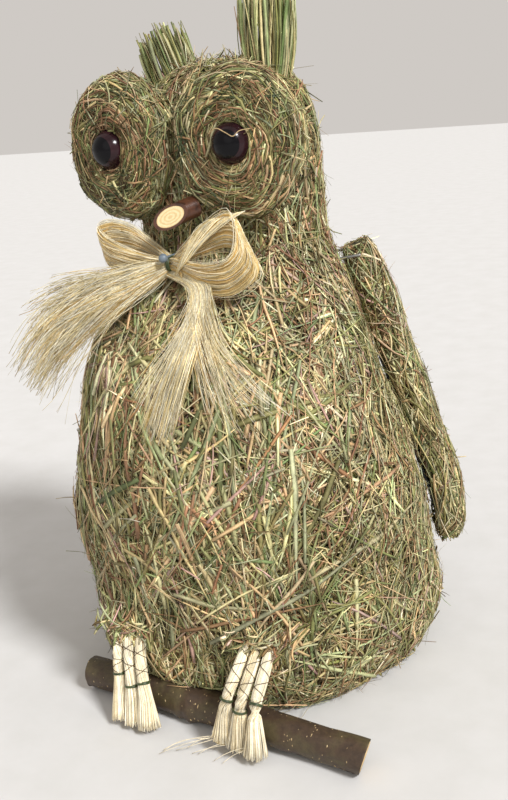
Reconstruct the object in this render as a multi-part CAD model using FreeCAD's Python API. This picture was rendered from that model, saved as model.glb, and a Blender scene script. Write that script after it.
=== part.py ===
import FreeCAD, Part
import math
import os

# Straw owl perched behind a branch.  Millimetres; +Z up, the owl looks along -Y, its left is +X,
# origin at the middle of the flat underside.
V = FreeCAD.Vector
os.makedirs("parts", exist_ok=True)

SOFT_GAP = 0.4          # air left between two pieces that only rest against each other
RUN_FIT = 0.05          # radial clearance of a wire or stem in its bore
WIRE_R = 0.4            # thin green binding wire

# Body: circular sections, (height, centre y, radius)
BODY = [(0, 2, 92), (4, 2, 98), (12, 2.5, 104.5), (25, 3, 110.5), (45, 2, 112.5), (70, 0, 112),
        (120, -13, 108.5), (170, -25, 96.5), (210, -26, 85), (235, -22, 75), (255, -12, 65), (264, -5, 60),
        (272, -1, 56.6)]
HEAD = [(272.6, -1, 56.4), (285, 0, 56), (300, 0, 55.9), (335, 0, 55.2), (352, 0, 51), (365, 0, 43),
        (374, 0, 31), (379, 0, 17), (380, 0, 6)]
HAY_THICK = 14
NECK_R = 6

HEAD_YAW = -6.3         # the head looks a little to the owl's right
DISC_X, DISC_Y, DISC_Z = 39.4, -56.6, 336
DISC_TOE = 8.5
DISC_A, DISC_B = 37, 40.5
DISC_RINGS = [(-9.5, 0.45), (-8.5, 0.70), (-6, 0.88), (-2, 0.98), (3, 1.0), (9, 0.98), (15, 0.93), (20, 0.85)]
EYE_R, EYE_H, EYE_BACK = 11, 9, -9
PUPIL_R = 7.6
SHANK_R, SHANK_L = 2, 19

BRANCH_R, BARK = 10.8, 1.5
BRANCH_Y, BRANCH_YAW = -108.9, -11.1
BRANCH_X0, BRANCH_X1 = -93.5, 112

PIN_DIST, PIN_Z = 70.5, 276.5
KNOT_R, KNOT_DROP = 7, 4.5


def circle(cx, cy, z, r):
    return Part.Wire(Part.Circle(V(cx, cy, z), V(0, 0, 1), r).toShape())


def stack(rows, shrink=0.0):
    wires = [circle(0, cy, z, r - shrink) for z, cy, r in rows]
    return Part.makeLoft(wires, True, False)


def direction(yaw_deg):
    a = math.radians(yaw_deg)
    return V(math.sin(a), -math.cos(a), 0)


def rod(start, end, radius):
    d = end - start
    return Part.makeCylinder(radius, d.Length, start, d)


def frame_at(origin, x_axis, y_axis, z_axis):
    m = FreeCAD.Matrix(x_axis.x, y_axis.x, z_axis.x, origin.x,
                       x_axis.y, y_axis.y, z_axis.y, origin.y,
                       x_axis.z, y_axis.z, z_axis.z, origin.z, 0, 0, 0, 1)
    return FreeCAD.Placement(m)


def placed(shape, placement):
    s = shape.copy()
    s.Placement = placement.multiply(s.Placement)
    return s


def oval(a, b, z, n=2.0, cx=0.0, cy=0.0):
    if n == 2.0:
        big, small = max(a, b), min(a, b)
        e = Part.Ellipse(V(0, 0, 0), big, small).toShape()
        w = Part.Wire(e)
        if b > a:
            w.rotate(V(0, 0, 0), V(0, 0, 1), 90)
        w.translate(V(cx, cy, z))
        return w
    pts = []
    for k in range(16):
        t = 2 * math.pi * k / 16
        c, s = math.cos(t), math.sin(t)
        x = a * math.copysign(abs(c) ** (2 / n), c)
        y = b * math.copysign(abs(s) ** (2 / n), s)
        pts.append(V(cx + x, cy + y, z))
    curve = Part.BSplineCurve()
    curve.interpolate(pts, True)
    return Part.Wire(curve.toShape())


def oval_ring(a, b, radius):
    big, small = max(a, b), min(a, b)
    path = Part.Wire(Part.Ellipse(V(0, 0, 0), big, small).toShape())
    prof = Part.Wire(Part.Circle(V(big, 0, 0), V(0, 1, 0), radius).toShape())
    ring = path.makePipeShell([prof], True, True)
    if b > a:
        ring.rotate(V(0, 0, 0), V(0, 0, 1), 90)
    return ring


def ring_about(centre, axis, major, minor):
    return Part.makeTorus(major, minor, centre, axis)


def tube_path(points, radius):
    pieces = []
    for p, q in zip(points[:-1], points[1:]):
        pieces.append(rod(p, q, radius))
    for p in points[1:-1]:
        pieces.append(Part.makeSphere(radius, p))
    out = pieces[0]
    for s in pieces[1:]:
        out = out.fuse(s)
    return out.removeSplitter()


def save(name, shape):
    solids = shape.Solids
    out = solids[0] if len(solids) == 1 else Part.makeCompound(solids)
    if not out.isValid():
        print("INVALID", name)
    box = out.BoundBox
    print("%-22s solids %2d  vol %10.1f  x %7.1f %7.1f y %7.1f %7.1f z %7.1f %7.1f" % (
        name, len(solids), out.Volume, box.XMin, box.XMax, box.YMin, box.YMax, box.ZMin, box.ZMax))
    out.exportStep("parts/%s.step" % name)


SIDES = {"left": 1, "right": -1}
FACE = direction(HEAD_YAW)
ACROSS = V(-FACE.y, FACE.x, 0)
UP = V(0, 0, 1)


# ---------------------------------------------------------------- eyes and face discs
def disc_place(side):
    s = SIDES[side]
    c = FACE * -DISC_Y + ACROSS * (s * DISC_X) + UP * DISC_Z
    out_dir = direction(HEAD_YAW + s * DISC_TOE)
    side_dir = V(-out_dir.y, out_dir.x, 0)
    # local x across, local y up, local z towards the front of the disc
    return frame_at(c, side_dir, UP, out_dir)


def disc_pad():
    wires = [oval(DISC_A * k, DISC_B * k, -y) for y, k in reversed(DISC_RINGS)]
    pad = Part.makeLoft(wires, True, False)
    socket = Part.makeCylinder(EYE_R + SOFT_GAP, 20, V(0, 0, -EYE_BACK - SOFT_GAP))
    stem = Part.makeCylinder(SHANK_R + RUN_FIT, 60, V(0, 0, -40))
    washer_room = Part.makeCylinder(8 + SOFT_GAP, 40, V(0, 0, -45))
    return pad.cut(socket).cut(stem).cut(washer_room)


def eye_dome():
    sphere_r = (EYE_R ** 2 + EYE_H ** 2) / (2 * EYE_H)
    ball = Part.makeSphere(sphere_r, V(0, 0, -EYE_BACK + EYE_H - sphere_r))
    body = ball.common(Part.makeCylinder(EYE_R, EYE_H + 1, V(0, 0, -EYE_BACK)))
    pocket_z = -EYE_BACK + 3
    pupil_room = Part.makeCylinder(PUPIL_R + RUN_FIT, 20, V(0, 0, pocket_z))
    stem_room = Part.makeCylinder(SHANK_R + RUN_FIT, 2, V(0, 0, -EYE_BACK - 0.01))
    dome = body.cut(pupil_room).cut(stem_room)
    pupil = ball.common(Part.makeCylinder(PUPIL_R, 20, V(0, 0, pocket_z + RUN_FIT)))
    stem = Part.makeCylinder(SHANK_R, SHANK_L + 1.9, V(0, 0, -EYE_BACK - SHANK_L))
    washer = Part.makeCylinder(8, 1.6, V(0, 0, -EYE_BACK - SHANK_L + 3))
    washer = washer.cut(Part.makeCylinder(SHANK_R + RUN_FIT, 4, V(0, 0, -EYE_BACK - SHANK_L + 2)))
    return dome, pupil, stem, washer


# ---------------------------------------------------------------- beak
BEAK_FACE = V(-2.6, -78.8, 299)
BEAK_NORMAL = V(0.30, -0.93, 0.20).normalize()
BEAK_LONG = V(0.86, 0.33, 0.44)
BEAK_LONG = (BEAK_LONG - BEAK_NORMAL * BEAK_LONG.dot(BEAK_NORMAL)).normalize()
BEAK_AXIS = (BEAK_NORMAL * 0.6 - BEAK_LONG * 0.8).normalize()
BEAK_R, BEAK_BACK, BEAK_PIN_R = 6.2, 17, 0.6
BEAK_PIN_AT = BEAK_FACE + V(-1.1, 0.9, -1.1)


def beak_blank(radius, front=20.0, back=BEAK_BACK):
    return rod(BEAK_FACE - BEAK_AXIS * back, BEAK_FACE + BEAK_AXIS * front, radius)


def beak_cutter():
    other = BEAK_NORMAL.cross(BEAK_LONG)
    place = frame_at(BEAK_FACE, BEAK_LONG, other, BEAK_NORMAL)
    return placed(Part.makeBox(80, 80, 60, V(-40, -40, 0)), place)


# ---------------------------------------------------------------- ears
EARS = {"left": (V(28.5, 0, 362), V(31, 2, 424), 17.5, 8),
        "right": (V(-28.7, 0, 362), V(-43, 1, 404), 16, 8)}
EAR_ROOT = 14


def ear_solid(side, grow=0.0):
    root, tip, half_w, half_d = EARS[side]
    d = (tip - root).normalize()
    across = V(d.z, 0, -d.x).normalize()
    place = frame_at(root - d * EAR_ROOT, across, d.cross(across), d)
    length = (tip - root).Length + EAR_ROOT
    rows = [(0, 6, 6), (EAR_ROOT, 10.5, 7), (length * 0.6, half_w * 0.86, half_d * 0.95),
            (length, half_w, half_d)]
    wires = [oval(a + grow, b + grow, z) for z, a, b in rows]
    return placed(Part.makeLoft(wires, True, False), place), root, d


# ---------------------------------------------------------------- wings
WING_TILT, WING_TURN = 16.5, 20
WING_LEN = 214
WING_FRONT = V(68, 24, 268)
# down the wing: place, half chord, half thickness, lean of the middle towards the body
WING_ROWS = [(0, 8, 6, 0), (0.04, 13, 10, 0), (0.15, 23, 12.3, 0), (0.3, 32, 13.3, 0.8), (0.45, 38, 13.6, 1.2),
             (0.6, 39, 13.6, 1), (0.75, 37, 13.4, 0.3), (0.88, 30, 13, 2), (0.96, 20, 10.5, 5), (1.0, 9, 6, 8.5)]
BOARD_IN = 8.8
HINGE_R, HINGE_DOWN = 0.9, 9


def wing_axes(s):
    b, t = math.radians(WING_TURN), math.radians(WING_TILT)
    outward = V(s * math.cos(b), math.sin(b), 0)
    chord = V(-s * math.sin(b), math.cos(b), 0)
    down = outward * math.sin(t) - UP * math.cos(t)
    thick = outward * math.cos(t) + UP * math.sin(t)
    return outward, chord, down, thick


def wing_leaf(grow, start, depth):
    rows = [(q * WING_LEN, a) for q, a, b, lean in WING_ROWS[3:9]]
    rows[0] = (rows[0][0] - grow, rows[0][1])
    rows[-1] = (rows[-1][0] + grow, rows[-1][1])
    edge = [V(start, 0.2 * a - grow, z) for z, a in rows]
    edge += [V(start, 1.74 * a + grow, z) for z, a in reversed(rows)]
    return Part.Face(Part.makePolygon(edge + edge[:1])).extrude(V(depth, 0, 0))


def wing_parts(side):
    s = SIDES[side]
    outward, chord, down, thick = wing_axes(s)
    front = V(s * WING_FRONT.x, WING_FRONT.y, WING_FRONT.z)
    # local x points through the pad, local y along the chord, local z down the wing
    place = frame_at(front, thick * -s, chord, down)
    inner = s
    wires = [oval(b, a, q * WING_LEN, 2.6, inner * lean, a) for q, a, b, lean in WING_ROWS]
    pad = Part.makeLoft(wires, True, False)
    board = wing_leaf(0.0, inner * BOARD_IN, inner * 2)
    pad = pad.cut(wing_leaf(SOFT_GAP, inner * (BOARD_IN - SOFT_GAP), inner * 30))
    hinge = V(0, 12, HINGE_DOWN)
    bore = Part.makeCylinder(HINGE_R + RUN_FIT, 60, hinge - V(0, 30, 0), V(0, 1, 0))
    pad = pad.cut(bore)
    band_z = 0.2 * WING_LEN
    band = oval_ring(15, 29, WIRE_R)
    band.translate(V(inner * 0.3, 26.6, band_z))
    pad_placed = placed(pad, place)
    return {"hay": pad_placed, "board": placed(board, place), "wire": placed(band, place),
            "hinge": place.multVec(hinge), "axes": (outward, chord, down, thick)}


def wing_staple(parts):
    outward, chord, down, thick = parts["axes"]
    h = parts["hinge"]
    half, leg = 17, 46
    a, b = h - chord * half, h + chord * half
    inward = (outward * -1 - UP * 0.12).normalize()
    return tube_path([a + inward * leg, a, b, b + inward * leg], HINGE_R)


# ---------------------------------------------------------------- bow
PIN = FACE * PIN_DIST + UP * PIN_Z
KNOT = PIN - UP * KNOT_DROP
PIN_R = 0.7


def quad(centre, wide, deep, width_dir, depth_dir):
    w, t = width_dir * (wide / 2), depth_dir * (deep / 2)
    c = [centre - w - t, centre + w - t, centre + w + t, centre - w + t]
    return Part.makePolygon(c + c[:1])


def tail(rows):
    wires = [quad(c, w, t, wd, dd) for c, w, t, wd, dd in rows]
    return Part.makeLoft(wires, True, True)


# loop outlines from the knot, (outwards, up)
LOOPS = {"left": ([(8, 5), (15, 15), (27, 25), (39, 28), (51, 23), (58, 12), (57, 1), (49, -11), (35, -16),
                   (21, -14), (8, -5)],
                  [(22, 4), (31, 11), (41, 12), (46, 5), (39, -3), (28, -3)]),
         "right": ([(8, 5), (17, 14), (30, 21), (41, 21), (49, 14), (51, 4), (44, -6), (30, -10), (15, -9),
                    (8, -5)],
                   [(21, 4), (31, 10), (40, 10), (40, 4), (29, 1)])}
LOOP_OUT, LOOP_DEPTH = 4.5, 10


def bow_loop(side):
    s = SIDES[side]

    def wire(points):
        pts = [KNOT + ACROSS * (s * x) + UP * z + FACE * LOOP_OUT for x, z in points]
        curve = Part.BSplineCurve()
        curve.interpolate(pts, True)
        return Part.Wire(curve.toShape())

    outer, inner = LOOPS[side]
    solid = Part.Face(wire(outer)).extrude(FACE * LOOP_DEPTH)
    hole = Part.Face(wire(inner)).extrude(FACE * LOOP_DEPTH * 3)
    hole.translate(FACE * -LOOP_DEPTH)
    return solid.cut(hole).cut(rod(KNOT - ACROSS * 8, KNOT + ACROSS * 8, KNOT_R + 1.6))


def bow_tails():
    side_fan = tail([
        (KNOT + V(-6, -10, -11), 7, 4, V(0.75, 0, -0.66), V(0, 1, 0)),
        (V(-38, -94, 256), 23, 5, V(0.5, 0, -0.87), V(0, 1, 0)),
        (V(-60, -103, 242), 30, 6, V(0.55, 0, -0.84), V(0, 1, 0)),
        (V(-86, -107, 219), 40, 7, V(0.68, 0, -0.73), V(0, 1, 0))])
    chest_fan = tail([
        (KNOT + V(6, -14, -11), 7, 4, V(1, 0, 0), V(0, 0.8, -0.6)),
        (V(12, -97, 250), 14, 6, V(1, 0, 0), V(0, 0.8, -0.6)),
        (V(16, -114, 228), 26, 6, V(1, 0, 0), V(0, 0.9, -0.4)),
        (V(19, -124, 208), 40, 6, V(1, 0, 0), V(0, 1, -0.2)),
        (V(21, -127.5, 186), 52, 7, V(1, 0, 0), V(0, 1, -0.1))])
    return chest_fan, side_fan


# ---------------------------------------------------------------- feet
FEET = {"left": (V(42.5, -109.8, 56), V(38.5, -132.4, 33), V(35.5, -136, 2.5), 7.4, 9.7, 11.4),
        "right": (V(-44.5, -108.8, 55), V(-39.5, -120.4, 29), V(-35.6, -127.4, 2.5), 7.2, 9.2, 9.9)}
TOES = {"inner": -1, "middle": 0, "outer": 1}
TOE_R = (3.3, 4.3, 4.7)


def toe_points(side, name):
    s, k = SIDES[side], TOES[name]
    top, mid, low, g0, g1, g2 = FEET[side]
    slope = math.tan(math.radians(BRANCH_YAW))
    return [top + V(s * k * g0, abs(k) * 0.6, 0), mid + V(s * k * g1, s * k * g1 * slope, 0),
            low + V(s * k * g2, s * k * g2 * slope, 0)]


def toe_radius(side):
    return [TOE_R[0], TOE_R[1], 5.5 if side == "left" else TOE_R[2]]


def toe_solid(side, name):
    p = toe_points(side, name)
    r = toe_radius(side)
    upper_dir = (p[1] - p[0]).normalize()
    low_dir = (p[2] - p[1]).normalize()
    mid_dir = (upper_dir + low_dir).normalize()
    wires = [Part.Wire(Part.Circle(p[0], upper_dir, r[0]).toShape()),
             Part.Wire(Part.Circle(p[0] + (p[1] - p[0]) * 0.5, upper_dir, (r[0] + r[1]) / 2).toShape()),
             Part.Wire(Part.Circle(p[1], mid_dir, r[1]).toShape()),
             Part.Wire(Part.Circle(p[1] + (p[2] - p[1]) * 0.5, low_dir, (r[1] + r[2]) / 2).toShape()),
             Part.Wire(Part.Circle(p[2], V(0, 0, -1), r[2]).toShape())]
    return Part.makeLoft(wires, True, False), p, r, mid_dir


def foot_spikes(side):
    out = []
    for name in TOES:
        top = toe_points(side, name)[0]
        nxt = toe_points(side, name)[1]
        start = top + (nxt - top) * 0.15
        out.append((start, start + V(0, 26, 5)))
    return out


# ---------------------------------------------------------------- branch
def branch_axis():
    a = math.radians(BRANCH_YAW)
    u = V(math.cos(a), math.sin(a), 0)
    return V(0, BRANCH_Y, BRANCH_R), u


def branch_blank(radius, x0=BRANCH_X0, x1=BRANCH_X1 + 8):
    c, u = branch_axis()
    return rod(c + u * x0, c + u * x1, radius)


def branch_ends(shape):
    c, u = branch_axis()
    n = V(-u.y, u.x, 0)
    lean = math.tan(math.radians(24))
    p = c + u * BRANCH_X0
    pts = [p + n * 20, p - n * 20 + u * (40 * lean), p - n * 20 - u * 40, p + n * 20 - u * 40]
    wedge = Part.Face(Part.makePolygon(pts + pts[:1])).extrude(V(0, 0, 60))
    wedge.translate(V(0, 0, -20))
    lean_out = (u + n * 0.28 - UP * 0.34).normalize()
    level = UP.cross(lean_out).normalize()
    end = Part.makeBox(60, 60, 40, V(-30, -30, 0))
    place = frame_at(c + u * BRANCH_X1, level, lean_out.cross(level), lean_out)
    return shape.cut(wedge).cut(placed(end, place))


# ================================================================ build
outer = stack(BODY)
head_outer = stack(HEAD)
core_rows = [(z, cy, r - HAY_THICK) for z, cy, r in BODY if 10 < z < 262]
body_core = stack(core_rows)
cavity = stack([(z + (-0.4 if k == 0 else 0.4 if k == len(core_rows) - 1 else 0), cy, r + SOFT_GAP)
                for k, (z, cy, r) in enumerate(core_rows)])
head_rows = [(z, cy, r - 12) for z, cy, r in HEAD if 280 < z < 366]
head_core = stack(head_rows)
head_cavity = stack([(z + (-0.4 if k == 0 else 0.4 if k == len(head_rows) - 1 else 0), cy, r + SOFT_GAP)
                     for k, (z, cy, r) in enumerate(head_rows)])
dowel = rod(V(0, -6, 225), V(0, -6, 330), NECK_R)
dowel_room = rod(V(0, -6, 224.5), V(0, -6, 330.5), NECK_R + RUN_FIT)

wings = {side: wing_parts(side) for side in SIDES}
staples = {side: wing_staple(wings[side]) for side in SIDES}
spikes = {side: foot_spikes(side) for side in SIDES}
c, u = branch_axis()
peg_dir = V(-u.y, u.x, 0.12).normalize()
pegs = [rod(c + u * x - peg_dir * 5, c + u * x + peg_dir * 34, 1.25) for x in (-12, 14)]
peg_rooms = [rod(c + u * x - peg_dir * 5.3, c + u * x + peg_dir * 34.5, 1.25 + SOFT_GAP) for x in (-12, 14)]
pin_shaft = rod(PIN - FACE * 34, PIN + FACE * 7, PIN_R)
beak_pin = rod(BEAK_PIN_AT - BEAK_AXIS * 34, BEAK_PIN_AT - BEAK_AXIS * 10, BEAK_PIN_R)

body_hay = outer.cut(cavity).cut(branch_blank(BRANCH_R + 0.6, -140, 140))
body_hay = body_hay.cut(rod(V(0, -6, 200), V(0, -6, 280), NECK_R + SOFT_GAP))
core_cut = body_core.cut(dowel_room)
for side in SIDES:
    outward, chord, down, thick = wings[side]["axes"]
    h = wings[side]["hinge"]
    inward = (outward * -1 - UP * 0.12).normalize()
    for k in (-1, 1):
        hole = rod(h + chord * (17 * k), h + chord * (17 * k) + inward * 46.5, HINGE_R + SOFT_GAP)
        body_hay = body_hay.cut(hole)
        core_cut = core_cut.cut(hole)
    for p, q in spikes[side]:
        hole = rod(p, q + (q - p).normalize() * 0.5, 0.8 + SOFT_GAP)
        body_hay = body_hay.cut(hole)
        core_cut = core_cut.cut(hole)
for room in peg_rooms:
    body_hay = body_hay.cut(room)
    core_cut = core_cut.cut(room)
save("body_hay", body_hay)
save("body_core", core_cut)
rings = [ring_about(V(0, cy, z), UP, r + 0.5 + WIRE_R, WIRE_R) for z, cy, r in BODY if 40 < z < 240]
save("body_wire", Part.makeCompound(rings))
save("neck_dowel", dowel)

head_hay = head_outer.cut(head_cavity).cut(rod(V(0, -6, 260), V(0, -6, 300), NECK_R + SOFT_GAP))
head_core = head_core.cut(dowel_room)
pin_room = rod(PIN - FACE * 34.5, PIN, PIN_R + SOFT_GAP)
beak_pin_room = rod(BEAK_PIN_AT - BEAK_AXIS * 34.5, BEAK_PIN_AT - BEAK_AXIS * 10, BEAK_PIN_R + SOFT_GAP)
head_hay = head_hay.cut(pin_room).cut(beak_pin_room).cut(beak_blank(BEAK_R + SOFT_GAP, 20, BEAK_BACK + 0.4))
head_core = head_core.cut(pin_room).cut(beak_pin_room)
for side in SIDES:
    grown, root, d = ear_solid(side, SOFT_GAP)
    slot = rod(root - d * (EAR_ROOT + SOFT_GAP), root - d * (EAR_ROOT - 2), 5 + SOFT_GAP)
    head_hay = head_hay.cut(grown.fuse(slot))
    head_core = head_core.cut(grown.fuse(slot))
    place = disc_place(side)
    stem_room = placed(Part.makeCylinder(SHANK_R + SOFT_GAP, 60, V(0, 0, -40)), place)
    washer_z = -EYE_BACK - SHANK_L + 2.4
    washer_room = placed(Part.makeCylinder(8 + SOFT_GAP, 2 + 2 * SOFT_GAP, V(0, 0, washer_z)), place)
    head_hay = head_hay.cut(stem_room.common(placed(Part.makeBox(40, 40, 30, V(-20, -20, -26)), place)))
    head_hay = head_hay.cut(washer_room)
save("head_hay", head_hay)
save("head_core", head_core)

head_block = stack([(z, cy, r + SOFT_GAP) for z, cy, r in HEAD])
dome, pupil, stem, washer = eye_dome()
washers = []
for side, s in SIDES.items():
    place = disc_place(side)
    pad = placed(disc_pad(), place)
    other_half = placed(Part.makeBox(200, 200, 400, V(-200, -100, 0)),
                        frame_at(ACROSS * (s * 0.3), ACROSS * s, FACE * -s, UP))
    pad = pad.cut(other_half).cut(head_block).cut(beak_blank(BEAK_R + SOFT_GAP, 20, BEAK_BACK + 0.4))
    pad = pad.cut(beak_pin_room)
    rim = oval_ring(DISC_A + 0.9, DISC_B + 0.9, WIRE_R)
    rim.translate(V(0, 0, -4))
    rim = placed(rim, place)
    save("disc_%s" % side, pad)
    save("disc_%s_wire" % side, rim)
    save("eye_%s" % side, placed(dome, place))
    save("eye_%s_pupil" % side, placed(pupil, place))
    save("eye_%s_stem" % side, placed(stem, place))
    washers.append(placed(washer, place))
save("eye_washers", Part.makeCompound(washers))

cutter = beak_cutter()
pin_bore = rod(BEAK_PIN_AT - BEAK_AXIS * 30, BEAK_PIN_AT - BEAK_AXIS * 9.9, BEAK_PIN_R + RUN_FIT)
wood = beak_blank(BEAK_R - 1.2).cut(cutter).cut(pin_bore)
bark = beak_blank(BEAK_R).cut(beak_blank(BEAK_R - 1.18, 21, BEAK_BACK + 1)).cut(cutter)
save("beak_wood", wood)
save("beak_bark", bark)
save("beak_pin", beak_pin)

for side in SIDES:
    ear, root, d = ear_solid(side)
    save("ear_%s" % side, ear)

for side in SIDES:
    save("wing_%s_hay" % side, wings[side]["hay"])
    save("wing_%s_board" % side, wings[side]["board"])
    save("wing_%s_wire" % side, wings[side]["wire"])
    save("wing_%s_staple" % side, staples[side])

knot = rod(KNOT - ACROSS * 7, KNOT + ACROSS * 7, KNOT_R)
knot = knot.cut(rod(PIN - FACE * 10, PIN + FACE * 10, PIN_R + RUN_FIT))
tie = Part.makeCompound([ring_about(KNOT + ACROSS * x, ACROSS, KNOT_R + 0.75, 0.45) for x in (-2.2, 2.2)])
save("bow_knot", knot)
save("bow_tie_wire", tie)
for side in SIDES:
    save("bow_loop_%s" % side, bow_loop(side))
left_tail, right_tail = bow_tails()
save("bow_tail_left", left_tail)
save("bow_tail_right", right_tail)
pin_head = Part.makeSphere(2.6, PIN + FACE * 10.5)
save("bow_pin", pin_shaft.fuse(rod(PIN + FACE * 6, PIN + FACE * 10, PIN_R)).fuse(pin_head))

for side in SIDES:
    toe_rings = []
    for name in TOES:
        toe, p, r, mid_dir = toe_solid(side, name)
        start, end = spikes[side][list(TOES).index(name)]
        toe = toe.cut(rod(start, end, 0.8 + RUN_FIT)).cut(rod(start - V(0, 0.6, 0), start, 0.8 + RUN_FIT))
        save("toe_%s_%s" % (side, name), toe)
        toe_rings.append(ring_about(p[1], mid_dir, r[1] + 0.2, WIRE_R))
    save("foot_%s_rings" % side, Part.makeCompound(toe_rings))
    save("foot_%s_spikes" % side, Part.makeCompound([rod(p, q, 0.8) for p, q in spikes[side]]))

wood = branch_ends(branch_blank(BRANCH_R - BARK))
bark = branch_ends(branch_blank(BRANCH_R).cut(branch_blank(BRANCH_R - BARK + 0.02, -140, 140)))
for peg in pegs:
    wood = wood.cut(peg_rooms[pegs.index(peg)])
    bark = bark.cut(peg_rooms[pegs.index(peg)])
save("branch_wood", wood)
save("branch_bark", bark)
save("branch_pegs", Part.makeCompound(pegs))
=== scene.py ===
"""Looks of the hay owl: strands, wires, bark and materials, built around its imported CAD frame."""
import math
from collections import namedtuple

import bpy
import numpy as np
from mathutils import Matrix, Vector


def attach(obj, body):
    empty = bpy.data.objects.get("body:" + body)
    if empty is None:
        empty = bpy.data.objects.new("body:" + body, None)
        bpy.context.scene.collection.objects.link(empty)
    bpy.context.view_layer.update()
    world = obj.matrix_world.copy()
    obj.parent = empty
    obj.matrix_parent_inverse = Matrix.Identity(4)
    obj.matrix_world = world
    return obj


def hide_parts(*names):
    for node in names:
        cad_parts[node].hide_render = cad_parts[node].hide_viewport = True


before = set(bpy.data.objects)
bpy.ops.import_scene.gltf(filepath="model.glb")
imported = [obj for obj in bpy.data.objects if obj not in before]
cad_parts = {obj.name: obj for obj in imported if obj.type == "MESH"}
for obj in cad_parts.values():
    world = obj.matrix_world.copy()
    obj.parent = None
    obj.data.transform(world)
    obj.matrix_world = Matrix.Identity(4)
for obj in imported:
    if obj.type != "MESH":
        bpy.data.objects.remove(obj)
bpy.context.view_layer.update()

# Everything below is in millimetres and is scaled once, when a mesh is made.
MM = 0.001
TURN = 2 * math.pi
UP = np.array([0.0, 0.0, 1.0])
SIDES = {"left": 1, "right": -1}
NEUTRAL = (0.5, 0.5, 0.5)
BED_TINT = (0.2, 0.18, 0.1)
TUBE_UP = np.array([0.31, 0.17, 0.94])

# Height, y of the middle, radius.
BODY_ROWS = np.array([(0, 2, 92), (4, 2, 98), (12, 2.5, 104.5), (25, 3, 110.5), (45, 2, 112.5), (70, 0, 112),
                      (120, -13, 108.5), (170, -25, 96.5), (210, -26, 85), (235, -22, 75), (255, -12, 65),
                      (264, -5, 60), (272, -1, 56.6), (280, 0, 56)], float)
HEAD_ROWS = np.array([(262, -4, 59.5), (272.6, -1, 56.4), (285, 0, 56), (300, 0, 55.9), (335, 0, 55.2),
                      (352, 0, 51), (365, 0, 43), (374, 0, 31), (379, 0, 17), (380, 0, 6)], float)
# Way out from the eye, over the rim and in again behind; fraction of the rim's radius; distance forwards.
DISC_ROWS = np.array([(0, 0.02, 7.5), (0.3, 0.3, 8.3), (0.45, 0.45, 9.6), (0.6, 0.6, 9.2), (0.85, 0.82, 7.2),
                      (1.0, 0.93, 4.5), (1.15, 0.99, 1.0), (1.35, 1.0, -4), (1.6, 0.97, -10),
                      (1.85, 0.9, -16), (2.0, 0.8, -18.6), (2.2, 0.55, -19.2), (2.5, 0.1, -19.4)], float)
# Fraction of the length, half width, half thickness, lean towards the body.
WING_ROWS = np.array([(0, 8, 6, 0), (0.04, 13, 10, 0), (0.15, 23, 12.3, 0), (0.3, 32, 13.3, 0.8),
                      (0.45, 38, 13.6, 1.2), (0.6, 39, 13.6, 1), (0.75, 37, 13.4, 0.3), (0.88, 30, 13, 2),
                      (0.96, 20, 10.5, 5), (1.0, 9, 6, 8.5)], float)
HEAD_YAW, DISC_TOE = -6.3, 8.5
DISC_X, DISC_Y, DISC_Z, DISC_A, DISC_B = 39.4, -56.6, 336, 37, 40.5
WING_TILT, WING_TURN, WING_LEN = 16.5, 20, 214
WING_FRONT = (68, 24, 268)
BRANCH_R, BRANCH_Y, BRANCH_YAW, BRANCH_X0, BRANCH_X1 = 10.8, -108.9, -11.1, -93.5, 112

CAMERA_POS = (281.7, -605.6, 367.1)
CAMERA_AZ, CAMERA_EL, CAMERA_ROLL = 24.8, 16.5, -5.0
CAMERA_LENS = 48.4


# ---- small maths
def heading(deg):
    a = math.radians(deg)
    return np.array([math.sin(a), -math.cos(a), 0.0])


def unit(v):
    return v / np.maximum(np.linalg.norm(v, axis=-1, keepdims=True), 1e-9)


def smooth(x, xs, ys):
    """Cubic curve through the table (xs, ys)."""
    m = np.gradient(ys, xs)
    x = np.clip(x, xs[0], xs[-1])
    i = np.clip(np.searchsorted(xs, x) - 1, 0, len(xs) - 2)
    h = xs[i + 1] - xs[i]
    t = (x - xs[i]) / h
    a, b = 2 * t ** 3 - 3 * t ** 2 + 1, t ** 3 - 2 * t ** 2 + t
    return a * ys[i] + b * h * m[i] + (1 - a) * ys[i + 1] + (t ** 3 - t ** 2) * h * m[i + 1]


def column(rows, k, x):
    """Column k of a table at x, where column 0 holds the places."""
    return smooth(x, rows[:, 0], rows[:, k])


def catmull(points, count):
    """count positions on the smooth curve through control rows of numbers."""
    p = np.asarray(points, float)
    s = np.linspace(0, len(p) - 1, count)
    places = np.arange(len(p), dtype=float)
    return np.stack([smooth(s, places, p[:, k]) for k in range(p.shape[1])], -1)


def sample(table, s):
    """Rows of a table of vectors at fractional positions s."""
    i = np.clip(s.astype(int), 0, len(table) - 2)
    f = (s - i)[..., None]
    return table[i] * (1 - f) + table[i + 1] * f


def bezier(start, over, end, rings):
    """(n, rings, 3) paths that bend once, from start towards over and on to end."""
    t = np.linspace(0, 1, rings)[None, :, None]
    return start[:, None] * (1 - t) ** 2 + 2 * over[:, None] * t * (1 - t) + end[:, None] * t ** 2


def linear(rgb):
    """Linear colour from 0 to 255 display values."""
    c = np.asarray(rgb, float) / 255
    return np.where(c <= 0.04045, c / 12.92, ((c + 0.055) / 1.055) ** 2.4)


FACE = heading(HEAD_YAW)
ACROSS = np.array([-FACE[1], FACE[0], 0.0])
PIN = FACE * 70.5 + UP * 276.5
KNOT = PIN - UP * 4.5


# ---- mesh making
def outward(verts, quads, tris):
    """Turns all faces over if the closed mesh encloses a negative volume."""
    fans = np.concatenate([quads[:, :3], quads[:, [0, 2, 3]], tris])
    a, b, c = (verts[fans[:, k]] for k in range(3))
    if np.sum(a * np.cross(b, c)) < 0:
        return quads[:, ::-1], tris[:, ::-1]
    return quads, tris


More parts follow.
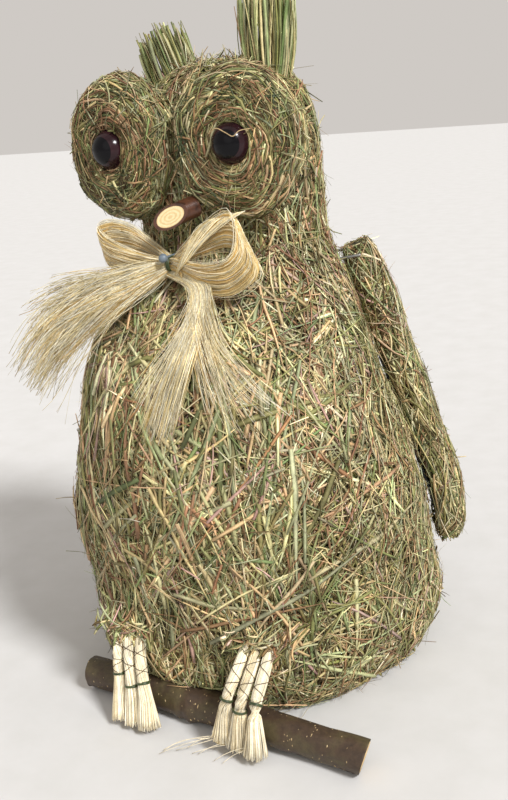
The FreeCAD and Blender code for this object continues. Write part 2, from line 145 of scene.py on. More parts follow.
def make_mesh(name, verts, quads, tris, tint, rounded=False):
    quads, tris = outward(verts, quads, tris)
    me = bpy.data.meshes.new(name)
    me.vertices.add(len(verts))
    me.vertices.foreach_set("co", (verts * MM).astype(np.float32).ravel())
    loops = np.concatenate([quads.ravel(), tris.ravel()]).astype(np.int32)
    me.loops.add(len(loops))
    me.loops.foreach_set("vertex_index", loops)
    starts = np.concatenate([np.arange(len(quads)) * 4, len(quads) * 4 + np.arange(len(tris)) * 3])
    me.polygons.add(len(starts))
    me.polygons.foreach_set("loop_start", starts.astype(np.int32))
    me.update(calc_edges=True)
    colour = me.color_attributes.new("tint", "FLOAT_COLOR", "POINT")
    rgba = np.concatenate([np.broadcast_to(tint, (len(verts), 3)), np.ones((len(verts), 1))], 1)
    colour.data.foreach_set("color", rgba.astype(np.float32).ravel())
    if rounded:
        me.polygons.foreach_set("use_smooth", np.ones(len(me.polygons), bool))
    return me


def add_piece(name, mesh, material, body, slot, nodes=()):
    ob = bpy.data.objects.new(name, mesh)
    bpy.context.scene.collection.objects.link(ob)
    ob.data.materials.append(material)
    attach(ob, body)
    if nodes:
        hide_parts(*nodes)


def merge(parts):
    """One (verts, quads, tris) from many."""
    starts = np.cumsum([0] + [len(p[0]) for p in parts[:-1]])
    quads = np.concatenate([p[1] + s for p, s in zip(parts, starts)])
    tris = np.concatenate([p[2] + s for p, s in zip(parts, starts)])
    return np.concatenate([p[0] for p in parts]), quads, tris


def strand_geometry(path, normal, width, thick):
    """Closed three-sided blades. path and normal are (n, k, 3), width and thick (n, k)."""
    tangent = unit(np.gradient(path, axis=1))
    side = unit(np.cross(tangent, normal))
    out = unit(np.cross(side, tangent))
    w, t = width[..., None] / 2, thick[..., None]
    ring = np.stack([path + side * w, path + out * t, path - side * w], 2)
    n, k = path.shape[:2]
    idx = np.arange(n * k * 3).reshape(n, k, 3)
    quads = []
    for a in range(3):
        b = (a + 1) % 3
        face = np.stack([idx[:, :-1, a], idx[:, :-1, b], idx[:, 1:, b], idx[:, 1:, a]], -1)
        quads.append(face.reshape(-1, 4))
    tris = np.concatenate([idx[:, 0, ::-1], idx[:, -1]])
    return ring.reshape(-1, 3), np.concatenate(quads), tris


class Bundle:
    """Collects strands and writes them out as one piece."""

    def __init__(self, name, material, body, slot, nodes=()):
        self.name, self.place = name, (material, body, slot, nodes)
        self.parts, self.tints = [], []

    def add(self, path, normal, width, thick, tint):
        self.parts.append(strand_geometry(path, normal, width, thick))
        self.tints.append(np.repeat(tint[:, None], path.shape[1] * 3, 1).reshape(-1, 3))

    def write(self):
        mesh = make_mesh(self.name, *merge(self.parts), np.concatenate(self.tints))
        add_piece(self.name, mesh, *self.place)


def grid_solid(name, surface, us, vs, material, body, slot, nodes=(), fix=None):
    """Closed grid: wraps round in u, capped at both ends of v."""
    u, v = np.meshgrid(us, vs)
    p = surface(u.ravel(), v.ravel())
    if fix is not None:
        p = fix(p)
    nu, nv = len(us), len(vs)
    idx = np.arange(nu * nv).reshape(nv, nu)
    nxt = np.roll(idx, -1, axis=1)
    quads = np.stack([idx[:-1], nxt[:-1], nxt[1:], idx[1:]], -1).reshape(-1, 4)
    verts = np.concatenate([p, [p[idx[0]].mean(0), p[idx[-1]].mean(0)]])
    low = np.stack([nxt[0], idx[0], np.full(nu, nu * nv)], -1)
    high = np.stack([idx[-1], nxt[-1], np.full(nu, nu * nv + 1)], -1)
    mesh = make_mesh(name, verts, quads, np.concatenate([low, high]), BED_TINT, rounded=True)
    add_piece(name, mesh, material, body, slot, nodes)


def tube(points, radius, sides):
    """A thin closed tube along (k, 3) points."""
    p = np.asarray(points, float)
    t = unit(np.gradient(p, axis=0))
    a = unit(np.cross(t, TUBE_UP))
    b = np.cross(t, a)
    ang = np.linspace(0, TURN, sides, endpoint=False)[None, :, None]
    ring = p[:, None] + radius * (np.cos(ang) * a[:, None] + np.sin(ang) * b[:, None])
    k = len(p)
    idx = np.arange(k * sides).reshape(k, sides)
    nxt = np.roll(idx, -1, axis=1)
    quads = np.stack([idx[:-1], idx[1:], nxt[1:], nxt[:-1]], -1).reshape(-1, 4)
    tris = np.concatenate([np.stack([idx[0], nxt[0], np.full(sides, k * sides)], -1),
                           np.stack([nxt[-1], idx[-1], np.full(sides, k * sides + 1)], -1)])
    return np.concatenate([ring.reshape(-1, 3), p[:1], p[-1:]]), quads, tris


def tube_piece(name, runs, material, body, slot, nodes=(), sides=6):
    """All the (points, radius) runs of a wire or thread as one piece."""
    mesh = make_mesh(name, *merge([tube(*run, sides) for run in runs]), NEUTRAL, rounded=True)
    add_piece(name, mesh, material, body, slot, nodes)


# ---- surfaces the hay lies on
def lumps(u, v):
    return (1.5 * np.sin(3 * u + v / 31) + 1.1 * np.sin(5 * u - v / 19 + 1.0)
            + 0.8 * np.sin(9 * u + v / 11 + 2.0) + 0.5 * np.sin(17 * u - v / 7))


def lathe(rows, lump=1.0):
    """Lumpy turned surface: u is the angle, v the height."""
    def point(u, v):
        r = column(rows, 2, v) + lump * lumps(u, v)
        return np.stack([r * np.cos(u), column(rows, 1, v) + r * np.sin(u), v], -1)
    return point


def disc_axes(side):
    s = SIDES[side]
    centre = FACE * -DISC_Y + ACROSS * (s * DISC_X) + UP * DISC_Z
    out = heading(HEAD_YAW + s * DISC_TOE)
    return centre, np.array([-out[1], out[0], 0.0]), out


def disc_surface(side):
    """Eye cushion: u is the angle, v the first column of DISC_ROWS."""
    centre, across, out = disc_axes(side)

    def point(u, v):
        ripple = 1 + 0.02 * np.sin(5 * u + 1.2) + 0.014 * np.sin(11 * u + 3 * v)
        k = column(DISC_ROWS, 1, v) * ripple
        d = column(DISC_ROWS, 2, v) + 0.6 * np.sin(4 * u + 7 * v)
        return (centre + (DISC_A * k * np.cos(u))[..., None] * across
                + (DISC_B * k * np.sin(u))[..., None] * UP + d[..., None] * out)
    return point


def wing_axes(s):
    """Front top corner, and the directions of thickness, width and length."""
    b, t = math.radians(WING_TURN), math.radians(WING_TILT)
    outward_flat = np.array([s * math.cos(b), math.sin(b), 0.0])
    chord = np.array([-s * math.sin(b), math.cos(b), 0.0])
    down = outward_flat * math.sin(t) - UP * math.cos(t)
    thick = outward_flat * math.cos(t) + UP * math.sin(t)
    front = np.array([s * WING_FRONT[0], WING_FRONT[1], WING_FRONT[2]], float)
    return front, thick, chord, down


def wing_surface(side, shrink=0.0):
    """Leaf-shaped pad with blunt edges: u goes round it, v down it."""
    front, thick, chord, down = wing_axes(SIDES[side])

    def point(u, v):
        a = column(WING_ROWS, 1, v)
        b = column(WING_ROWS, 2, v) - shrink
        c, s = np.cos(u), np.sin(u)
        y = a + (a - shrink) * np.sign(c) * np.abs(c) ** 0.77
        x = b * np.sign(s) * np.abs(s) ** 0.77 * (1 + 0.05 * np.sin(v * 21 + 2 * u))
        x = x - column(WING_ROWS, 3, v)
        return front + x[..., None] * thick + y[..., None] * chord + (v * WING_LEN)[..., None] * down
    return point


def cap_surface():
    """Top of the head, over a flat grid of x and y."""
    radii = np.append(0.0, HEAD_ROWS[::-1, 2][:6])
    heights = np.append(380.4, HEAD_ROWS[::-1, 0][:6])

    def point(u, v):
        return np.stack([u, v, np.interp(np.sqrt(u * u + v * v), radii, heights)], -1)
    return point


# A stretch of surface; flip is -1 where u x v points inwards, and the steps are for its slopes.
Patch = namedtuple("Patch", "surface flip u_lim v_lim step_u step_v")
# One sort of strand: how many, ranges of length, width and height above the surface, how far the ends
# stand up, how little it follows the surface, how much it bends, and its rings of points.
Layer = namedtuple("Layer", "count length width height lift stiff curl rings")


def tangents(patch, u, v):
    du, dv = patch.step_u, patch.step_v
    pu = (patch.surface(u + du, v) - patch.surface(u - du, v)) / (2 * du)
    pv = (patch.surface(u, v + dv) - patch.surface(u, v - dv)) / (2 * dv)
    return pu, pv


def scatter(rng, patch, count):
    """Random places, spread evenly over the patch's area."""
    u = rng.uniform(*patch.u_lim, count * 4)
    v = rng.uniform(*patch.v_lim, count * 4)
    area = np.linalg.norm(np.cross(*tangents(patch, u, v)), axis=-1)
    pick = np.flatnonzero(rng.uniform(0, 1, count * 4) < area / area.max())
    pick = pick[:count] if len(pick) >= count else np.resize(pick, count)
    return u[pick], v[pick]


def drape(rng, patch, layer, angle):
    """Paths and normals of strands on a patch; angle(rng, n, u, v) is measured from the u direction."""
    n, rings = layer.count, layer.rings
    u, v = scatter(rng, patch, n)
    span = rng.uniform(*layer.length, n)
    ds = span / (rings - 1)
    psi = angle(rng, n, u, v)
    bend = rng.normal(0, layer.curl, n) / (rings - 1)
    base = rng.uniform(*layer.height, n)
    tip = np.abs(rng.normal(0, 1, (2, n))) * layer.lift
    slope = rng.uniform(-1, 1, n) * 0.8
    roll = rng.normal(0, 0.34, (n, 3))
    most = 0.6 * (patch.u_lim[1] - patch.u_lim[0])
    path, norm = [], []
    for k in range(rings):
        pu, pv = tangents(patch, u, v)
        e1 = unit(pu)
        across = pv - np.sum(pv * e1, -1, keepdims=True) * e1
        up = unit(np.cross(pu, pv)) * patch.flip
        f = k / (rings - 1) - 0.5
        rise = base + slope * f * 2 + layer.stiff * (f * span) ** 2 / 200
        rise = rise + np.where(f > 0, tip[0], tip[1]) * (2 * abs(f)) ** 2.2
        path.append(patch.surface(u, v) + up * rise[:, None])
        norm.append(unit(up + roll))
        dv = ds * np.sin(psi) / np.maximum(np.linalg.norm(across, axis=-1), 1e-6)
        du = (ds * np.cos(psi) - dv * np.sum(pv * e1, -1)) / np.maximum(np.linalg.norm(pu, axis=-1), 1e-6)
        u = u + np.clip(du, -most, most)
        v = v + dv
        beyond = (v > patch.v_lim[1]) | (v < patch.v_lim[0])
        v = np.clip(v, *patch.v_lim)
        psi = np.where(beyond, -psi, psi) + bend * (1 + 0.6 * np.sin(k * 1.7 + span))
    return np.stack(path, 1), np.stack(norm, 1)


def along(rng, n, u, v):
    return rng.normal(math.pi / 2, 0.4, n) * rng.choice([-1, 1], n)


def wound(rng, n, u, v):
    return rng.normal(0, 0.2, n) + math.pi * rng.integers(0, 2, n)


def crossed(rng, n, u, v):
    return rng.uniform(0, TURN, n)


def clumped(u_cells, v_cells, upright):
    """Direction rule: blades of one patch lie nearly side by side, some lie across."""
    def angle(rng, n, u, v):
        table = np.where(rng.uniform(0, 1, (u_cells, v_cells)) < upright,
                         rng.normal(math.pi / 2, 0.35, (u_cells, v_cells)),
                         rng.uniform(0, math.pi, (u_cells, v_cells)))
        i = (u / TURN * u_cells + rng.normal(0, 0.3, n)).astype(int) % u_cells
        low, high = v.min(), v.max()
        j = ((v - low) / (high - low) * v_cells + rng.normal(0, 0.3, n)).astype(int) % v_cells
        free = rng.uniform(0, 1, n) < 0.3
        psi = np.where(free, rng.uniform(0, math.pi, n), table[i, j] + rng.normal(0, 0.24, n))
        front = np.clip(1.25 - np.abs(np.angle(np.exp(1j * (u + 1.75)))) / 1.1, 0, 1)
        psi = np.where(rng.uniform(0, 1, n) < 0.3 * front, rng.normal(math.pi / 2, 0.4, n), psi)
        return psi * rng.choice([-1, 1], n)
    return angle


# ---- colours of dry hay
HAY = {"olive": (146, 140, 88), "greygreen": (172, 172, 130), "green": (136, 146, 94),
       "straw": (222, 210, 158), "tan": (206, 178, 132), "brown": (158, 120, 86),
       "pale": (240, 230, 190), "pink": (200, 166, 150), "dark": (96, 82, 48)}
MIX_BODY = {"olive": 24, "greygreen": 19, "green": 6, "straw": 14, "tan": 16, "brown": 9, "pale": 5,
            "pink": 3, "dark": 9}
MIX_CHEST = {"olive": 13, "greygreen": 14, "green": 5, "straw": 18, "tan": 26, "brown": 11, "pale": 6,
             "pink": 7, "dark": 2}
MIX_DISC = {"olive": 30, "greygreen": 9, "green": 6, "straw": 6, "tan": 13, "brown": 20, "pale": 1,
            "dark": 20}
MIX_LONG = {"olive": 18, "greygreen": 28, "green": 6, "straw": 13, "tan": 20, "brown": 10, "pale": 1,
            "pink": 3}
MIX_RIM = {"olive": 20, "greygreen": 26, "green": 12, "straw": 24, "tan": 10, "brown": 4, "pale": 6}
MIX_EAR = {"olive": 26, "greygreen": 28, "green": 25, "straw": 15, "brown": 2, "pale": 3, "dark": 3}


def hay_tints(rng, count, mix):
    names = list(mix)
    p = np.array([mix[n] for n in names], float)
    table = np.array([linear(HAY[n]) for n in names])
    base = table[rng.choice(len(names), count, p=p / p.sum())]
    return base * np.exp(rng.normal(0, 0.22, (count, 1))) * np.exp(rng.normal(0, 0.05, (count, 3)))


def profile(rng, count, rings, width, taper=0.6):
    """Widths and thicknesses along each strand, narrower towards one end."""
    w0 = rng.uniform(*width, count)[:, None]
    t = np.linspace(0, 1, rings)[None]
    t = np.where(rng.uniform(0, 1, (count, 1)) < 0.5, t, 1 - t)
    w = w0 * (1 - taper * t ** 3) * (0.75 + 0.25 * np.minimum(1, 6 * np.minimum(t, 1 - t)))
    return w, w * rng.uniform(0.16, 0.34, (count, 1))


# ---- materials
class Nodes:
    """A thin layer over a material's node tree."""

    def __init__(self, name):
        self.mat = bpy.data.materials.new(name)
        self.mat.use_nodes = True
        self.tree = self.mat.node_tree
        self.bsdf = self.tree.nodes["Principled BSDF"]
        self.coord = self.tree.nodes.new("ShaderNodeTexCoord").outputs["Object"]

    def node(self, kind, **values):
        n = self.tree.nodes.new("ShaderNode" + kind)
        for key, value in values.items():
            if key in n.inputs:
                n.inputs[key].default_value = value
            else:
                setattr(n, key, value)
        return n

    def maths(self, kind, operation, *inputs):
        """A Math or VectorMath node; each input is a socket, a constant or None."""
        n = self.node(kind, operation=operation)
        for socket, value in zip(n.inputs, inputs):
            if isinstance(value, bpy.types.NodeSocket):
                self.tree.links.new(value, socket)
            elif value is not None:
                socket.default_value = value
        return n.outputs["Value" if operation in ("DOT_PRODUCT", "LENGTH") else 0]

    def noise(self, scale, detail=4.0, rough=0.6):
        n = self.node("TexNoise", Scale=scale, Detail=detail, Roughness=rough)
        self.tree.links.new(self.coord, n.inputs["Vector"])
        return n.outputs["Fac"]

    def ramp(self, source, stops):
        n = self.node("ValToRGB")
        while len(n.color_ramp.elements) < len(stops):
            n.color_ramp.elements.new(0.5)
        for e, (pos, col) in zip(n.color_ramp.elements, stops):
            e.position = pos
            e.color = (*[float(x) for x in col], 1.0)
        self.tree.links.new(source, n.inputs["Fac"])
        return n.outputs["Color"]

    def times(self, a, b, factor=1.0):
        """Product of two colours."""
        n = self.node("Mix", data_type="RGBA", blend_type="MULTIPLY")
        sockets = {s.name: s for s in n.inputs if s.enabled}
        sockets["Factor"].default_value = factor
        self.tree.links.new(a, sockets["A"])
        self.tree.links.new(b, sockets["B"])
        return [s for s in n.outputs if s.enabled][0]

    def bump(self, source, strength, distance):
        n = self.node("Bump", Strength=strength, Distance=distance)
        self.tree.links.new(source, n.inputs["Height"])
        self.tree.links.new(n.outputs["Normal"], self.bsdf.inputs["Normal"])

    def finish(self, colour, rough, **extra):
        self.tree.links.new(colour, self.bsdf.inputs["Base Color"])
        self.bsdf.inputs["Roughness"].default_value = rough
        for key, value in extra.items():
            self.bsdf.inputs[key.replace("_", " ")].default_value = value
        return self.mat


def greys(low, dark, high, light):
    return [(low, (dark,) * 3), (high, (light,) * 3)]


def tones(dark, light, low=0.3, high=0.7):
    return [(low, linear(dark)), (high, linear(light))]


def tinted(name, light, dark, scale, rough, bump=0.25, **extra):
    """Strand material: its own tint, mottled along the strand."""
    m = Nodes(name)
    tint = m.node("Attribute", attribute_name="tint").outputs["Color"]
    shade = m.ramp(m.noise(scale, 5.0, 0.65), greys(0.32, dark, 0.68, light))
    fine = m.noise(scale * 7, 3.0, 0.6)
    patch = m.ramp(m.noise(scale / 4, 2.0), greys(0.34, 0.8, 0.66, 1.12))
    colour = m.times(tint, m.times(shade, patch))
    colour = m.times(colour, m.ramp(fine, greys(0.35, 0.82, 0.7, 1.12)), 0.8)
    m.bump(fine, bump, 0.0002)
    return m.finish(colour, rough, **extra)


def plain_material(name, stops, scale, rough, bump=0.0, distance=0.0002, **extra):
    """Mottled material between a few close tones."""
    m = Nodes(name)
    colour = m.ramp(m.noise(scale, 5.0), stops)
    if bump:
        m.bump(m.noise(scale * 3, 5.0), bump, distance)
    return m.finish(colour, rough, **extra)


def shade_bed_material():
    """Painted shade: dark, rough hay in the depth between the strands, darker than any strand so that it
    stands in for the shade there.
    """
    m = Nodes("hay_painted_shade_bed")
    stops = [(0.3, linear((30, 24, 10))), (0.55, linear((62, 54, 28))), (0.75, linear((104, 92, 52)))]
    colour = m.ramp(m.noise(120.0, 6.0, 0.7), stops)
    m.bump(m.noise(420.0, 6.0), 0.8, 0.002)
    return m.finish(colour, 0.9)


def twig_face(name, centre, axis, light, dark):
    """Cut wood with rings, 1.5 mm apart, about a given axis."""
    m = Nodes(name)
    axis = [float(a) for a in axis]
    rel = m.maths("VectorMath", "SUBTRACT", m.coord, [float(c) * MM for c in centre])
    dot = m.maths("VectorMath", "DOT_PRODUCT", rel, axis)
    flat = m.maths("VectorMath", "SUBTRACT", rel, m.maths("VectorMath", "SCALE", axis, None, None, dot))
    radius = m.maths("VectorMath", "LENGTH", flat)
    wobbly = m.maths("Math", "MULTIPLY_ADD", m.noise(260.0, 3.0), 0.0012, radius)
    wave = m.maths("Math", "SINE", m.maths("Math", "MULTIPLY", wobbly, TURN / (1.5 * MM)))
    half = m.maths("Math", "MULTIPLY_ADD", wave, 0.5, 0.5)
    colour = m.ramp(half, tones(dark, light, 0.1, 0.75))
    colour = m.times(colour, m.ramp(m.noise(900.0, 4.0), greys(0.3, 0.86, 0.7, 1.06)))
    m.bump(half, 0.15, 0.0002)
    return m.finish(colour, 0.6)


def speckled_board():
    m = Nodes("speckled_board")
    spots = m.node("TexVoronoi", Scale=340.0)
    m.tree.links.new(m.coord, spots.inputs["Vector"])
    colour = m.ramp(spots.outputs["Distance"], tones((176, 176, 178), (58, 58, 60), 0.14, 0.24))
    colour = m.times(colour, m.ramp(m.noise(150.0), greys(0.3, 0.6, 0.7, 1.2)))
    m.bump(m.noise(500.0), 0.4, 0.0004)
    return m.finish(colour, 0.8)


def bark_material():
    m = Nodes("bark")
    stops = [(0.3, linear((44, 34, 28))), (0.46, linear((72, 56, 42))), (0.6, linear((82, 72, 48))),
             (0.76, linear((58, 42, 34)))]
    colour = m.ramp(m.noise(38.0, 5.0, 0.6), stops)
    fine = m.noise(420.0, 6.0, 0.7)
    colour = m.times(colour, m.ramp(fine, greys(0.3, 0.7, 0.7, 1.25)), 0.9)
    m.bump(fine, 0.45, 0.0006)
    return m.finish(colour, 0.55, Specular_IOR_Level=0.45)


HAY_MAT = tinted("hay", 1.12, 0.72, 160.0, 0.62, Specular_IOR_Level=0.35)
SISAL_MAT = tinted("sisal", 1.08, 0.84, 120.0, 0.42, 0.1, Specular_IOR_Level=0.5)
BRUSH_MAT = tinted("brush_fibre", 1.2, 0.98, 200.0, 0.55, 0.1, Specular_IOR_Level=0.4)
WIRE_MAT = plain_material("green_wire", tones((44, 56, 32), (78, 90, 52), 0.35), 400.0, 0.4)
# Painted shade: dark brown for the threads laced round the toes, standing in for the shade between them.
SHADE_THREAD_MAT = plain_material("brown_thread_painted_shade", tones((58, 42, 26), (96, 76, 48), 0.35), 500.0, 0.7)
CORE_MAT = plain_material("brush_core", tones((176, 156, 116), (222, 204, 162)), 300.0, 0.8)
# Painted shade: the dark sheet laid under all the hay strands.
SHADE_BED_MAT = shade_bed_material()


# ---- body
BODY_SPAN = (1.5, 276.0)
BODY_LAYERS = {"hay_body_blades": Layer(4300, (35, 85), (1.6, 3.3), (-4.2, -1.2), 0.0, 0.12, 0.25, 7),
               "hay_body_leaves": Layer(4300, (26, 72), (1.1, 2.6), (-2.8, 0.0), 0.3, 0.2, 0.3, 7),
               "hay_body_leaves_over": Layer(3500, (24, 70), (0.9, 2.3), (-1.8, 1.0), 0.6, 0.25, 0.35, 7),
               "hay_body_stems": Layer(1900, (35, 95), (0.5, 1.1), (-1.0, 1.3), 0.8, 0.35, 0.5, 8)}
# Each with its own range of angle and height: the chest first, then all round.
LONG_LAYERS = (((-2.5, -0.9), (40, 225), Layer(260, (45, 115), (1.6, 4.0), (-0.2, 1.3), 0.8, 0.15, 0.22, 9)),
               ((-3.6, 2.7), (6, 255), Layer(420, (24, 80), (1.3, 3.4), (-0.2, 1.3), 0.8, 0.15, 0.22, 9)))
STRAY_LAYERS = (Layer(420, (12, 34), (0.5, 1.0), (-0.5, 1.5), 1.5, 0.4, 2.6, 9),
                Layer(360, (18, 42), (0.35, 0.8), (-0.5, 1.0), 5.5, 0.4, 0.7, 9))
WINDING_HEIGHTS = (38, 76, 118, 150, 186, 214, 244)
WIRE_R = 0.22


def branch_axis():
    a = math.radians(BRANCH_YAW)
    return np.array([0.0, BRANCH_Y, BRANCH_R]), np.array([math.cos(a), math.sin(a), 0.0])


def clear_of_branch(path, gap=0.7, ground=1.2):
    """Pushes points off the branch and up from the ground."""
    centre, axis = branch_axis()
    rel = path - centre
    t = np.sum(rel * axis, -1, keepdims=True)
    radial = rel - t * axis
    dist = np.linalg.norm(radial, axis=-1, keepdims=True)
    want = BRANCH_R + gap
    push = np.where((dist < want) & (t > BRANCH_X0 - 3) & (t < BRANCH_X1 + 3), want - dist, 0.0)
    out = path + push * radial / np.maximum(dist, 1e-6)
    out[..., 2] = np.maximum(out[..., 2], ground)
    return out


def lay_on_body(bundle, path, norm, width, thick, tint):
    """Adds strands to the body, leaving out any that stand up from the chest, where the bow swings."""
    path = clear_of_branch(path)
    middle = column(BODY_ROWS, 1, path[..., 2])
    radius = column(BODY_ROWS, 2, path[..., 2])
    proud = np.hypot(path[..., 0], path[..., 1] - middle) - radius > 4.6
    chest = (path[..., 2] > 172) & (path[..., 1] < middle - 30)
    calm = ~np.any(proud & chest, axis=1)
    bundle.add(path[calm], norm[calm], width[calm], thick[calm], tint[calm])


def body_layers(rng, patch, angle):
    for name, layer in BODY_LAYERS.items():
        nodes = ("body_hay",) if name == "hay_body_blades" else ()
        bundle = Bundle(name, HAY_MAT, "body", "hay", nodes)
        path, norm = drape(rng, patch, layer, angle)
        tint = hay_tints(rng, layer.count, MIX_BODY)
        middle = path[:, layer.rings // 2]
        chest = (middle[:, 1] < -40) & (middle[:, 2] > 150) & (rng.uniform(0, 1, layer.count) < 0.75)
        tint[chest] = hay_tints(rng, int(chest.sum()), MIX_CHEST)
        w, t = profile(rng, layer.count, layer.rings, layer.width)
        lay_on_body(bundle, path, norm, w, t, tint)
        bundle.write()


def body_shade_bed(surface):
    def under(u, v):
        p = surface(u, v)
        p[..., 0] *= 0.955
        middle = column(BODY_ROWS, 1, v)
        p[..., 1] = middle + (p[..., 1] - middle) * 0.955
        return p
    # Painted shade: a dark sheet just inside the body's hay, standing in for the shade between the strands.
    grid_solid("hay_body_shade_bed", under, np.linspace(0, TURN, 160, endpoint=False),
               np.linspace(0.6, 274, 150), SHADE_BED_MAT, "body", "hay", fix=clear_of_branch)


def body_winding(surface):
    """Sloping turns of wire round the body."""
    runs = []
    ang = np.linspace(0, TURN, 181)
    for k, z in enumerate(WINDING_HEIGHTS):
        v = z + 9 * math.sin(k * 2.3) * np.sin(ang + k) + 1.5 * np.sin(7 * ang + k)
        p = surface(ang, v)
        middle = np.stack([np.zeros_like(v), column(BODY_ROWS, 1, v), v], -1)
        runs.append((p + unit(p - middle) * (0.9 * np.sin(5 * ang + k))[:, None], WIRE_R))
    tube_piece("body_winding", runs, WIRE_MAT, "body", "green_wire", ("body_wire",), 5)


def build_body():
    rng = np.random.default_rng(11)
    surface = lathe(BODY_ROWS)
    patch = Patch(surface, 1, (0, TURN), BODY_SPAN, 0.01, 0.5)
    angle = clumped(26, 16, 0.45)
    body_layers(rng, patch, angle)
    long = Bundle("hay_body_long_blades", HAY_MAT, "body", "hay")
    for u_lim, v_lim, layer in LONG_LAYERS:
        path, norm = drape(rng, patch._replace(u_lim=u_lim, v_lim=v_lim), layer,
                           lambda r, n, u, v: r.normal(1.57, 0.6, n))
        w, t = profile(rng, layer.count, layer.rings, layer.width, 0.85)
        lay_on_body(long, path, norm, w, t, hay_tints(rng, layer.count, MIX_LONG))
    long.write()
    loose = Bundle("hay_body_strays", HAY_MAT, "body", "hay")
    for layer in STRAY_LAYERS:
        path, norm = drape(rng, patch, layer, angle)
        w, t = profile(rng, layer.count, layer.rings, layer.width)
        lay_on_body(loose, path, norm, w, t, hay_tints(rng, layer.count, MIX_BODY))
    loose.write()
    body_shade_bed(surface)
    body_winding(surface)


# ---- head
HEAD_LAYERS = (Layer(1300, (25, 60), (1.4, 2.8), (-3.8, -1.0), 0.0, 0.25, 0.4, 7),
               Layer(1500, (20, 52), (0.9, 2.2), (-2.2, 0.6), 0.5, 0.25, 0.4, 7),
               Layer(500, (25, 60), (0.4, 0.8), (-0.8, 1.2), 1.0, 0.25, 0.4, 7),
               Layer(110, (14, 30), (0.4, 0.8), (-0.5, 1.0), 5.0, 0.25, 0.4, 7))
CAP_LAYERS = (Layer(420, (18, 42), (0.9, 2.3), (-2.5, 0.6), 0.8, 0.3, 0.5, 7),
              Layer(170, (14, 34), (0.5, 1.5), (-2.5, 0.6), 5.0, 0.3, 0.5, 7))


def build_head():
    rng = np.random.default_rng(23)
    surface = lathe(HEAD_ROWS, 0.6)
    sides = Patch(surface, 1, (0, TURN), (264.0, 377.0), 0.01, 0.3)
    top = Patch(cap_surface(), 1, (-30, 30), (-30, 30), 0.3, 0.3)
    bundle = Bundle("hay_head", HAY_MAT, "body", "hay", ("head_hay",))
    for patch, layers, angle in ((sides, HEAD_LAYERS, clumped(16, 6, 0.5)),
                                 (top, CAP_LAYERS, lambda r, n, u, v: r.uniform(0, 6.28, n))):
        for layer in layers:
            path, norm = drape(rng, patch, layer, angle)
            w, t = profile(rng, layer.count, layer.rings, layer.width)
            bundle.add(path, norm, w, t, hay_tints(rng, layer.count, MIX_BODY))
    bundle.write()

    def under(u, v):
        return surface(u, v) * np.array([0.93, 0.93, 1.0]) - np.array([0, 0, 2.5])
    # Painted shade: a dark sheet just inside the head's hay, standing in for the shade between the strands.
    grid_solid("hay_head_shade_bed", under, np.linspace(0, TURN, 120, endpoint=False), np.linspace(266, 380, 70),
               SHADE_BED_MAT, "body", "hay")


# ---- eye discs
DISC_LAYERS = ((Layer(1800, (22, 60), (1.2, 2.6), (-2.9, -0.7), 0.0, 0.0, 0.3, 8), wound),
               (Layer(1500, (18, 55), (0.7, 1.9), (-1.6, 0.8), 0.3, 0.1, 0.3, 8), wound),
               (Layer(360, (14, 40), (0.5, 1.3), (-0.4, 1.2), 0.8, 0.3, 0.3, 8), crossed),
               (Layer(150, (8, 22), (0.4, 1.0), (-0.5, 0.8), 3.0, 0.3, 0.3, 8), crossed))
EYE_CLEAR, EYE_DEPTH = 11.6, 8.3
# Hair over the owl's left eye: sideways, up and forwards from the disc's centre.
EYE_HAIR = ((-9, 6, 15.6), (-4, 8.5, 17.2), (2, 6, 19.0), (6, 4, 19.2), (9, 6.5, 17), (13, 7, 11))


def clear_of_eye(path, axes):
    """Pushes points sideways out of the eye's dome."""
    centre, across, out = axes
    rel = path - centre
    x, z, d = rel @ across, rel @ UP, rel @ out
    r = np.sqrt(x * x + z * z)
    push = np.where((r < EYE_CLEAR) & (d > EYE_DEPTH), EYE_CLEAR / np.maximum(r, 0.5), 1.0)
    return centre + (x * push)[..., None] * across + (z * push)[..., None] * UP + d[..., None] * out


def disc_strands(rng, bundle, surface, axes):
    centre, across = axes[:2]
    patch = Patch(surface, -1, (0, TURN), (0.27, 2.4), 0.01, 0.01)
    for layer, angle in DISC_LAYERS:
        path, norm = drape(rng, patch, layer, angle)
        w, t = profile(rng, layer.count, layer.rings, layer.width)
        tint = 0.88 * hay_tints(rng, layer.count, MIX_DISC)
        middle = path[:, 4] - centre
        outer = np.hypot((middle @ across) / DISC_A, (middle @ UP) / DISC_B) > 0.9
        rim = outer & (rng.uniform(0, 1, layer.count) < 0.7)
        tint[rim] = 0.94 * hay_tints(rng, int(rim.sum()), MIX_RIM)
        bundle.add(clear_of_eye(path, axes), norm, w, t, tint)


def eye_hair(axes):
    centre, across, out = axes
    hair = catmull(EYE_HAIR, 24)
    line = centre + hair[:, :1] * across + hair[:, 1:2] * UP + hair[:, 2:] * out
    return (line[None], np.tile(out, (1, 24, 1)), np.full((1, 24), 0.55), np.full((1, 24), 0.3),
            linear(HAY["tan"])[None])


